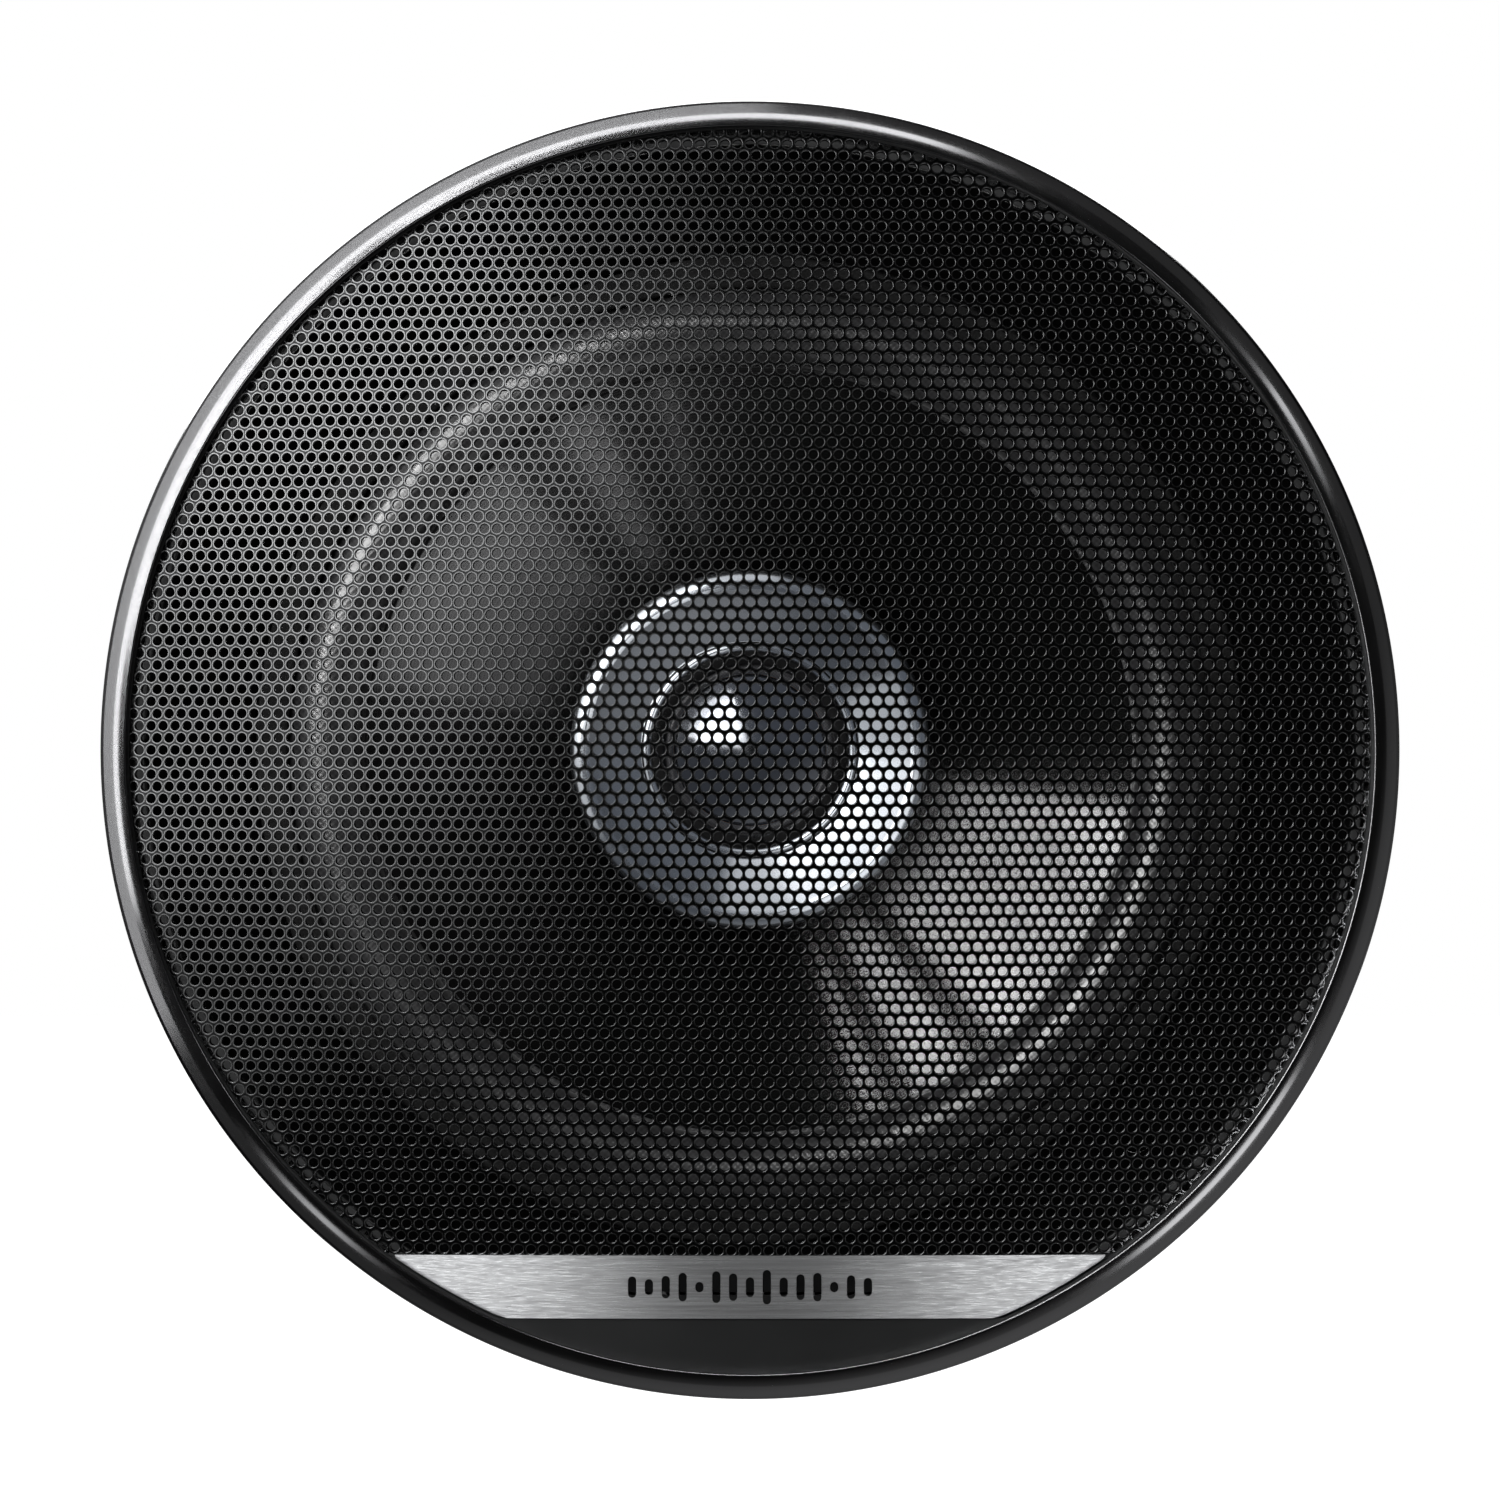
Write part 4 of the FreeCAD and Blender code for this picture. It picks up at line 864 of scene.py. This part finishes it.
def make_web(y, half_width, low, columns=60):
    """Upright wall behind the badge, as high as the sheet."""
    verts, faces = [], []
    for j in range(columns + 1):
        x = -half_width + 2 * half_width * j / columns
        for side_y in (y - 1.6, y):
            verts += [(x, side_y, low), (x, side_y, dome_z(x, side_y, -0.95))]
    last = 4 * columns
    for k in range(0, last, 4):
        faces += [(k, k + 4, k + 5, k + 1), (k + 2, k + 3, k + 7, k + 6)]
        faces += [(k, k + 2, k + 6, k + 4), (k + 1, k + 5, k + 7, k + 3)]
    return verts, faces + [(0, 1, 3, 2), (last, last + 2, last + 3, last + 1)]


def turned_block(turn, x, y, z):
    """A block carried round the axis by an angle."""
    verts, faces = block_data(x, y, z)
    c, s = math.cos(turn), math.sin(turn)
    return [(x * c - y * s, x * s + y * c, z) for x, y, z in verts], faces


def make_grille_base():
    """Plastic carrier with its twelve lugs, and the smooth panel below the badge."""
    low, outer = BASE.z0, TRIM.r - 2.23
    top, wall, ledge, ledge_z, groove = SHEET_EDGE_Z - 0.1, 80.3, 79.3, 4.2, SHEET.r + 0.1
    ring = [
        (ledge, ledge_z), (wall, ledge_z), (wall, low), (outer, low), (outer, top), (groove, top),
        (groove, 5), (SHEET.r - 0.8, 5), (SHEET.r - 0.8, 6), (ledge, 6),
    ]
    step_y, web_y = BADGE_BOTTOM - 0.05, BADGE_TOP - 0.4
    parts = [
        lathe_data(eased(ring, 0.15), 384),
        chord_patch(-groove - 0.35, step_y, groove + 0.4, 0, 2, 20, 160),
        chord_patch(step_y, web_y, groove + 0.3, -0.62, 1.4, 6, 80),
        make_web(web_y, 46, ledge_z),
    ]
    parts += [turned_block(TAU * i / 12, (79.55, 80.5), (-1.5, 1.5), (1.2, 4.6)) for i in range(12)]
    obj = mesh_object("grille_carrier", *merged(parts), 30)
    bevelled(obj, 0.00006, 50)
    placed(obj, "grille", panel_look, "grey_plastic", "grille_base")


def bar_shapes():
    """Middle x and half height of each bar of the generic mark, as in the CAD."""
    count, pitch = 15, 2.2
    shapes = []
    for i in range(count):
        swing = math.cos(1.25 * i * math.pi / 2) * math.cos((i / (count - 1) - 0.5) * 2.2)
        shapes.append(((i - (count - 1) / 2) * pitch, (1.4 + 3.2 * abs(swing)) / 2))
    return shapes


def bar_prism(x, half, r, low, top, n=10):
    """A round-ended upright bar. Its top is a function of x and y."""
    y = (BADGE_TOP + BADGE_BOTTOM) / 2
    swings = [(r * math.cos(math.pi * k / n), half - r + r * math.sin(math.pi * k / n)) for k in range(n + 1)]
    ring = [(x + dx, y + dy) for dx, dy in swings] + [(x - dx, y - dy) for dx, dy in swings]
    m = len(ring)
    verts = [(px, py, low) for px, py in ring] + [(px, py, top(px, py)) for px, py in ring]
    faces = [(k, (k + 1) % m, m + (k + 1) % m, m + k) for k in range(m)]
    return verts, faces + [tuple(range(m))[::-1], tuple(range(m, 2 * m))]


def make_badge():
    """Brushed plate with a pocket for each bar of the mark, and the dark inlay sunk a little into them."""
    proud, depth, sunk, pocket_y, pocket_r, gap = 0.3, 0.25, 0.09, -70.2, 0.55, 0.03
    plate = mesh_object("badge", *chord_patch(BADGE_BOTTOM, BADGE_TOP, 81, proud, 0.8, 18, 200, 0.5), 30)
    pockets, inlay = [], []

    def face(x, y):
        return dome_z(x, y, proud - sunk)

    for x, half in bar_shapes():
        floor = dome_z(x, pocket_y, proud - depth)
        pockets.append(bar_prism(x, half, pocket_r, floor, lambda px, py: 30))
        inlay.append(bar_prism(x, half - gap, pocket_r - gap, floor, face))
    cut_out(plate, pockets, 0.00005, 55, 12)
    placed(plate, "grille", brushed_look, "badge_metal", "badge_plate")
    bars = mesh_object("badge_bars", *merged(inlay), 30)
    placed(bars, "grille", ink_look, "badge_ink", "badge_mark")
    return plate


trim_ring = make_trim_ring()
perforated_sheet = make_perforated_sheet()
make_grille_base()
badge = make_badge()


# ---- Woofer --------------------

CONE = Box("cone")
FORMER = Box("voice_coil_former")
GASKET = Box("surround_gasket")
MOUNT_RING = Box("mounting_ring")
SURROUND = Box("surround")
SPIDER = Box("spider")
CONE_NECK_Z, CONE_NECK_R, CONE_RIM_R, CONE_WALL = -15.5, 13.6, 50.3, 0.6
BASKET_FLOOR_Z, LEDGE_Z = -24, -18.5


def blend_radially(obj):
    """Bakes the piece's placement into its mesh."""
    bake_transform(obj)


def make_cone_piece():
    rim_z = CONE.z1
    front = [(CONE.r, rim_z), (CONE_RIM_R, rim_z), (CONE_NECK_R, CONE_NECK_Z), (CONE_NECK_R, CONE.z0)]
    back = [
        (CONE_NECK_R - CONE_WALL, CONE.z0), (CONE_NECK_R - CONE_WALL, CONE_NECK_Z - 0.1),
        (CONE_RIM_R + 0.1, rim_z - CONE_WALL), (CONE.r, rim_z - CONE_WALL),
    ]
    return turned_piece(
        "cone_diaphragm", front + back, 256, 40,
        "cone_assembly", cone_look, "cone_plastic", "cone", (0.4,), 1.5,
    )


def make_surround():
    inner, outer, base, t = CONE_RIM_R, 60.2, 1, 0.4
    low = CONE.z1 + 0.05
    middle, crest = (inner + outer) / 2, base + 4.3
    points = outline(
        (inner - 0.1, low), (inner + 1.1, low),
        ((middle, crest - t), (outer - t, base + t / 2)),
        (outer, base + 0.02), (SURROUND.r, base + 0.02), (SURROUND.r, base + t), (outer + 0.2, base + t),
        ((middle, crest), (inner + 0.5, low + t)),
        (inner - 0.1, low + t),
        n=28,
    )
    obj = turned_piece(
        "roll_surround", points, 256, 60, None, cloth_look, "black_cloth", "surround", (0.25,)
    )
    blend_radially(obj)


def make_spider_piece():
    """Cloth disc pressed into six waves between a glued edge and a flat land."""
    inner, outer, land, wave_in = FORMER.r, SPIDER.r, SPIDER.r - 5.6, FORMER.r + 1.2
    middle = (SPIDER.z0 + SPIDER.z1) / 2
    waves, height, half_cloth, steps = 6, 0.9, 0.2, 120
    path = [(inner + 0.02, middle)]
    for i in range(steps + 1):
        share = i / steps
        path.append((wave_in + (land - wave_in) * share, middle + height * math.sin(TAU * waves * share)))
    path.append((outer, middle))
    points = [(r, z + half_cloth) for r, z in path] + [(r, z - half_cloth) for r, z in path[::-1]]
    obj = turned_piece(
        "spider_suspension", points, 192, 60, None, spider_look, "spider_cloth", "spider", None
    )
    blend_radially(obj)


def make_mounting_ring():
    """Plastic ring with its screw holes, and the pegs behind it."""
    low, high, inner, outer = 1, 3.6, 65, MOUNT_RING.r
    points = outline(
        (inner, low), (outer, low), (outer, high - 1.2),
        ((outer - 0.35, high - 0.5), (outer - 1.2, high - 0.2)),
        ((72.5, high + 0.15), (inner, high)),
        n=20,
    )
    ring = mesh_object("grille_mounting_ring", *lathe_data(eased(points, 0.2, 3, 0.6), 384))
    cut_out(ring, screw_rods(SCREW_HOLE_R, -2, 8, 40), 0.0002, 50, 32)
    pegs = mesh_object("mounting_ring_pegs", *merged(screw_rods(1.5, 0.1, 1.05, 24, 0)))
    for piece in (ring, pegs):
        placed(piece, "frame", plastic_look, "black_plastic", "mounting_ring")


def smooth_step(t):
    t = max(0, min(1, t))
    return t * t * (3 - 2 * t)


def basket_profile():
    """The basket's rear side, from its middle out, and the indexes of the windows' four heights in it."""
    path = [
        (14.6, BASKET_FLOOR_Z), (38.6, BASKET_FLOOR_Z), (40.6, LEDGE_Z), (46, LEDGE_Z), (48, -14.2),
        (61.2, -5.4), (61.8, 0), (78, 0),
    ]
    rear = eased(path, 1.1, 4, 0.25, closed=False)

    def at_height(z):
        for (r0, z0), (r1, z1) in zip(rear, rear[1:]):
            if z0 < z <= z1:
                return (r0 + (r1 - r0) * (z - z0) / (z1 - z0), z)

    marks = [at_height(z) for z in (-15.4, -13.4, -6.4, -4.2)]
    ordered = sorted(
        spaced(rear, 2.2, closed=False) + marks, key=lambda p: p[0] * 0.05 + (p[1] if p[1] < -0.01 else 0)
    )
    clean, least_gap = [ordered[0]], 0.35
    for p in ordered[1:]:
        if math.dist(p, clean[-1]) > least_gap or (p in marks and clean[-1] in marks):
            clean.append(p)
        elif p in marks:
            clean[-1] = p
    return clean, [clean.index(p) for p in marks]


def basket_push(r, z, angle):
    """How far the wall is pressed in: a rib on every spoke, and a bead round the floor."""
    from_spoke = abs((angle + 30) % 60 - 30)
    wall = smooth_step((z + 17) / 2) * smooth_step((-2 - z) / 2)
    bead = 0.35 * smooth_step(1 - abs(r - 33.6) / 1.4) if z < -22 else 0
    return -0.55 * smooth_step((5.2 - from_spoke) / 1.8) * wall - bead


def make_basket():
    """Pressed steel basket, with six windows that have rounded corners."""
    rear, (low_i, low_end, high_end, high_i) = basket_profile()
    count = 240
    half = count * 21 // 360
    windows = [count * (90 + 60 * w) // 360 for w in range(6)]
    bm = bmesh.new()
    grid = []
    for i, (r, z) in enumerate(rear):
        r0, z0 = rear[max(i - 1, 0)]
        r1, z1 = rear[min(i + 1, len(rear) - 1)]
        length = math.hypot(r1 - r0, z1 - z0)
        nr, nz = (z1 - z0) / length, -(r1 - r0) / length
        ring = []
        for k in range(count):
            push = basket_push(r, z, 360 * k / count)
            a = TAU * k / count
            rr = r + nr * push
            ring.append(bm.verts.new(row((rr * math.cos(a), rr * math.sin(a), z + nz * push))))
        grid.append(ring)
    for i in range(len(rear) - 1):
        for k in range(count):
            if low_i <= i < high_i and any((k - (c - half)) % count < 2 * half for c in windows):
                continue
            k2 = (k + 1) % count
            bm.faces.new((grid[i][k], grid[i][k2], grid[i + 1][k2], grid[i + 1][k]))
    for c in windows:
        for side in (-1, 1):
            for level, step, reach in ((low_i, 1, low_end - low_i), (high_i, -1, high_i - high_end)):
                corner_k = (c + side * half) % count
                corner = grid[level][corner_k]
                along = [grid[level][(corner_k - side * s) % count] for s in (1, 2)]
                down = [grid[level + step * s][corner_k] for s in range(reach, 0, -1)]
                a, b = along[-1].co, down[0].co
                pull = corner.co * 0.85 + (a + b) * 0.075
                curve = []
                for t in (0.8, 0.6, 0.4, 0.2):
                    point = (1 - t) ** 2 * b + 2 * t * (1 - t) * pull + t**2 * a
                    curve.append(bm.verts.new(point))
                bm.faces.new([corner] + along + curve + down)
    bmesh.ops.recalc_face_normals(bm, faces=bm.faces)
    mesh = bpy.data.meshes.new("basket_frame")
    bm.to_mesh(mesh)
    bm.free()
    obj = new_object("basket_frame", mesh)
    faces_back = sum(p.normal.y for p in obj.data.polygons) > 0
    modified(obj, "SOLIDIFY", thickness=1 * MM, offset=-1 if faces_back else 1, use_even_offset=True)
    screws, pegs = screw_rods(SCREW_HOLE_R, -3, 4, 36), screw_rods(1.55, -3, 4, 36, 0)
    cut_out(obj, [rod for pair in zip(screws, pegs) for rod in pair], 0.00022, 55, 32)
    placed(obj, "frame", basket_look, "basket_paint", "basket")
    tab_data = block_data((-13.5, 13.5), (42.5, 50.5), (LEDGE_Z + 0.02, LEDGE_Z + 0.98))
    tab = mesh_object("basket_terminal_tab", *tab_data, 30)
    modified(tab, "BEVEL", width=0.00025, segments=2)
    placed(tab, "frame", basket_look, "basket_paint", "basket")


cone_piece = make_cone_piece()
make_surround()
make_spider_piece()
turned_piece(
    "surround_clamp_gasket", tube(60.6, GASKET.r, GASKET.z0, GASKET.z1),
    256, 35, "frame", foam_look, "foam", "surround_gasket", (0.6, 5),
)
make_mounting_ring()
make_basket()


# ---- Magnet system --------------------

MAGNET = Box("magnet")
TOP_PLATE = Box("top_plate")
YOKE = Box("yoke")
WINDING = Box("voice_coil_winding")


turned_piece(
    "ferrite_magnet",
    [
        (17, MAGNET.z0), (MAGNET.r - 0.8, MAGNET.z0), (MAGNET.r, MAGNET.z0 + 0.8),
        (MAGNET.r, MAGNET.z1 - 0.8), (MAGNET.r - 0.8, MAGNET.z1), (17, MAGNET.z1),
    ],
    192, 35, "frame", ferrite_look, "ferrite", "magnet", (0.35,), 2.5,
)
turned_piece(
    "front_pole_washer", tube(13.9, TOP_PLATE.r, TOP_PLATE.z0, TOP_PLATE.z1),
    192, 35, "frame", zinc_look, "plated_steel", "top_plate", (0.4,), 2.5,
)
plate_top, pole_r, bore_r, counterbore_r = -38, 12.3, 3, 5.6
turned_piece(
    "back_plate_and_pole",
    [
        (counterbore_r, YOKE.z0), (YOKE.r - 1, YOKE.z0), (YOKE.r, YOKE.z0 + 1), (YOKE.r, plate_top),
        (pole_r, plate_top), (pole_r, YOKE.z1 - 0.5), (pole_r - 0.5, YOKE.z1), (bore_r, YOKE.z1),
        (bore_r, YOKE.z0 + 1.9), (counterbore_r, YOKE.z0 + 1.9),
    ],
    192, 35, "frame", black_steel_look, "black_steel", "yoke", (0.35,), 2.5,
)
turned_piece(
    "coil_former", tube(12.7, FORMER.r, FORMER.z0, FORMER.z1),
    160, 35, "cone_assembly", foil_look, "former_foil", "voice_coil_former", (0.05,),
)


def make_winding():
    """Copper winding as rounded turns."""
    inner, outer, turns = FORMER.r, WINDING.r, 28
    pitch = (WINDING.z1 - WINDING.z0) / turns
    points = [(inner, WINDING.z0), (outer - 0.1, WINDING.z0)]
    for i in range(turns):
        z = WINDING.z0 + pitch * i
        points += [(outer - 0.08, z + 0.02), (outer, z + pitch / 2), (outer - 0.08, z + pitch - 0.02)]
    points += [(outer - 0.1, WINDING.z1), (inner, WINDING.z1)]
    turned_piece(
        "coil_winding", points, 160, 60, "cone_assembly", copper_look, "copper", "voice_coil_winding", None
    )


make_winding()


# ---- Tweeter --------------------

HORN = Box("tweeter_horn")
CUP = Box("tweeter_cup")
DOME = Box("tweeter_dome")
CLAMP = Box("tweeter_clamp_ring")
POST = Box("tweeter_post")
THROAT_R, RIDGE_R = 12.95, 14.1


def make_horn_piece():
    foot, lip, r = HORN.z0, HORN.z1, HORN.r
    points = outline(
        (THROAT_R, foot), (CUP.r, foot), (RIDGE_R + 0.9, foot + 0.3),
        ((19.7, 7.6), (r - 1.1, lip - 2.35)),
        (r - 0.25, lip - 2.2), (r, lip - 1.75),
        ((r - 0.7, lip - 0.5), (r - 2, lip)),
        (r - 2.5, lip - 0.2),
        ((17.7, 8.85), (RIDGE_R + 0.1, foot + 1.55)),
        (RIDGE_R, foot + 2),
        (((THROAT_R + RIDGE_R) / 2, foot + 2.6), (THROAT_R, foot + 2)),
        n=20,
    )
    return turned_piece(
        "tweeter_dish", points, 256, 40, "frame", horn_look, "horn_metal", "tweeter_horn", (0.25, 4, 0.35)
    )


def make_dome_piece():
    """A cap of a sphere, in thin film."""
    r, low, high, film = DOME.r, DOME.z0, DOME.z1, 0.2
    height = high - low
    sphere = (r**2 + height**2) / (2 * height)
    centre = high - sphere

    def cap(radius, angles):
        return [(radius * math.sin(t), centre + radius * math.cos(t)) for t in angles]

    outer = cap(sphere, np.linspace(0, math.asin(r / sphere), 40))
    inner = cap(sphere - film, np.linspace(math.acos((low - centre) / (sphere - film)), 0, 24))
    outer[0], inner[-1] = (0, high), (0, high - film)
    obj = mesh_object("tweeter_dome_cap", *lathe_data(outer + inner, 160, closed=False), 40)
    return placed(obj, "dome_assembly", dome_look, "dome_film", "tweeter_dome")


def make_dome_roll():
    low, inner, outer, t = 5.1, DOME.r + 0.05, 11.1, 0.15
    middle = (inner + outer) / 2
    points = outline(
        (inner, low), (inner + t, low),
        ((middle, low + 0.45), (outer - t, low)),
        (12.2, low), (12.2, low + t), (outer, low + t),
        ((middle, low + 0.6), (inner, low + t)),
    )
    obj = turned_piece(
        "tweeter_roll", points, 128, 60,
        None, small_cloth_look, "black_cloth", "tweeter_dome_surround", None,
    )
    blend_radially(obj)


dish = make_horn_piece()
dome_cap = make_dome_piece()
make_dome_roll()
turned_piece(
    "tweeter_retainer",
    [
        (11.2, CLAMP.z0), (CLAMP.r, CLAMP.z0), (CLAMP.r, CLAMP.z1 - 0.15), (CLAMP.r - 0.15, CLAMP.z1),
        (11.45, CLAMP.z1), (11.2, CLAMP.z1 - 0.25),
    ],
    160, 35, "frame", plastic_look, "black_plastic", "tweeter_clamp_ring", (0.08,),
)
turned_piece(
    "tweeter_housing",
    outline(
        (1.6, CUP.z0), (CUP.r - 1, CUP.z0), ((CUP.r - 0.29, CUP.z0 + 0.29), (CUP.r, CUP.z0 + 1)),
        (CUP.r, CUP.z1), (CUP.r - 1.7, CUP.z1), (CUP.r - 1.7, CUP.z0 + 1.6), (1.6, CUP.z0 + 1.6), n=6,
    ),
    160, 35, "frame", satin_look, "black_plastic", "tweeter_cup", (0.15,),
)
turned_piece(
    "tweeter_stem",
    outline(
        (2.65, POST.z0), (2.98, POST.z0), (2.98, -23), (4.5, -23), (4.5, -8.5),
        ((5.25, -6.75), (7, -6)), (9, -6), (9, POST.z1), (1.6, POST.z1), (1.6, POST.z0 + 1.4), n=8,
    ),
    96, 35, "frame", satin_look, "black_plastic", "tweeter_post", (0.15,),
)


# ---- Wiring and carried-over pieces --------------------


def tinsel_route(side):
    """From the pad on the terminal board, up and over in a loop, to the cone's rear."""
    x, y, z = side * 6.5, 53.2, -17.9
    slope = math.atan2(14, CONE_RIM_R - CONE_NECK_R)
    lean = slope + math.radians(25)
    joint_r, joint_angle = 30, math.radians(12.5)
    front = CONE_NECK_Z + (joint_r - CONE_NECK_R) * math.tan(slope)
    back = front - CONE_WALL * math.hypot(1, math.tan(slope))

    def behind(depth):
        r = joint_r + depth * math.sin(lean)
        return (side * r * math.sin(joint_angle), r * math.cos(joint_angle), back - depth * math.cos(lean))

    loop = [(x, y, z), (x, y - 0.2, z + 6.6), (x, y - 7.6, z + 7.4), (x, y - 14, z + 3.4)]
    return loop + [behind(5.2), behind(1)]


def tinsel(name, node, side):
    """Braided lead as a smooth curve through the CAD route's points."""
    route = tinsel_route(side)
    curve = bpy.data.curves.new(name, "CURVE")
    curve.dimensions = "3D"
    curve.bevel_depth, curve.bevel_resolution = 0.45 * MM, 4
    curve.use_fill_caps = True
    curve.resolution_u = 16
    spline = curve.splines.new("NURBS")
    spline.points.add(len(route) - 1)
    for point, place in zip(spline.points, route):
        point.co = (*row(place), 1)
    spline.order_u = 3
    spline.use_endpoint_u = True
    temp = new_object(name + "_curve", curve)
    mesh = bpy.data.meshes.new_from_object(temp.evaluated_get(bpy.context.evaluated_depsgraph_get()))
    bpy.data.objects.remove(temp)
    obj = new_object(name, mesh)
    soften(obj, 60)
    placed(obj, None, braid_look, "braid", node)
    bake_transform(obj)


tinsel("tinsel_wire_positive", "tinsel_lead_positive", -1)
tinsel("tinsel_wire_negative", "tinsel_lead_negative", 1)

CARRIED = (
    (rivet_look, "basket_rivets", "board_rivets"),
    (solder_look, "tinsel_pads"),
    (laminate_look, "terminal_board"),
    (blade_look, "terminal_positive", "terminal_negative", "terminal_rivets"),
    (sleeve_look, "crossover_capacitor"),
    (wire_look, "capacitor_wires"),
    (insulation_look, "tweeter_leads"),
    (shrink_look, "splice_sleeve"),
    (glue_look, "lead_saddle"),
    (nickel_look, "post_nut", "tweeter_magnet"),
    (zinc_look, "tweeter_yoke", "tweeter_pole_plate"),
    (satin_look, "tweeter_seat_ring"),
    (copper_look, "tweeter_coil"),
)
for look, *nodes in CARRIED:
    for node in nodes:
        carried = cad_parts[node]
        carried.data.materials.clear()
        carried.data.materials.append(look)
        soften(carried, 32)


# ---- Softboxes aimed at single pieces --------------------

key_bands = ((14, 24), 1.5), ((24, 36), 2.9), ((36, 51), 4.6)
key_sectors = (131, 171), (116, 125), (108, 110)
unlit = perforated_sheet, scene.objects["grille_mounting_ring"]
aimed(
    [o for o in scene.objects if o.type == "MESH" and not o.get("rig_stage") and o not in unlit],
    *[
        (f"key_light_{i}_{j}", sector, tilt, strength)
        for i, (tilt, strength) in enumerate(key_bands)
        for j, sector in enumerate(key_sectors)
    ],
)
aimed(
    [perforated_sheet],
    ("sheet_light", (118, 188), (19, 27), 0.5),
    ("sheet_light_edge", (114, 162), (27, 46), 1.25),
    ("sheet_light_left", (162, 192), (27, 46), 0.62),
    ("sheet_glow", (98, 214), (16, 50), 0.22),
    ("sheet_rim_light", (104, 190), (50, 82), 0.45),
)
aimed(
    [trim_ring],
    ("trim_light", (71, 194), (50, 66), 4.2),
    ("trim_light_outer", (88, 206), (66, 88), 1.2),
    ("trim_glow_outer", (0, 360), (66, 88), 0.07),
    ("trim_patch_low", (308, 328), (50, 66), 3),
    ("trim_patch_right", (28, 35), (50, 66), 3),
    ("trim_patch_left", (223, 231), (50, 66), 2),
)
aimed(
    [dish],
    ("dish_light", (105, 178), (44, 64), 2.2),
    ("dish_light_throat", (105, 178), (64, 96), 0.7),
    ("dish_glow", (80, 208), (40, 96), 0.6),
    ("dish_lip_light", (286, 352), (8, 44), 1.5),
)
aimed(
    [dish, dome_cap],
    ("tweeter_fill", (0, 360), (6, 85), 0.085, (0.85, 0.93, 1.08)),
    ("tweeter_fill_top", (0, 120), (6, 85), 0.06, (0.85, 0.93, 1.08)),
)
aimed([dome_cap], ("dome_light", (108, 168), (8, 60), 2.6))
aimed(
    [cone_piece],
    ("cone_fill", (311, 350), (34, 50), 0.75),
    ("cone_fill_side", (294, 301), (34, 50), 0.75),
    ("cone_fill_edge", (282.5, 284), (34, 50), 0.75),
)
aimed(
    [badge],
    ("badge_light_left", (212, 253), (26, 50), 2),
    ("badge_light_right", (288, 328), (26, 50), 1.9),
    ("badge_glow", (253, 288), (26, 50), 0.28),
)
dish.visible_shadow = dish.visible_glossy = False
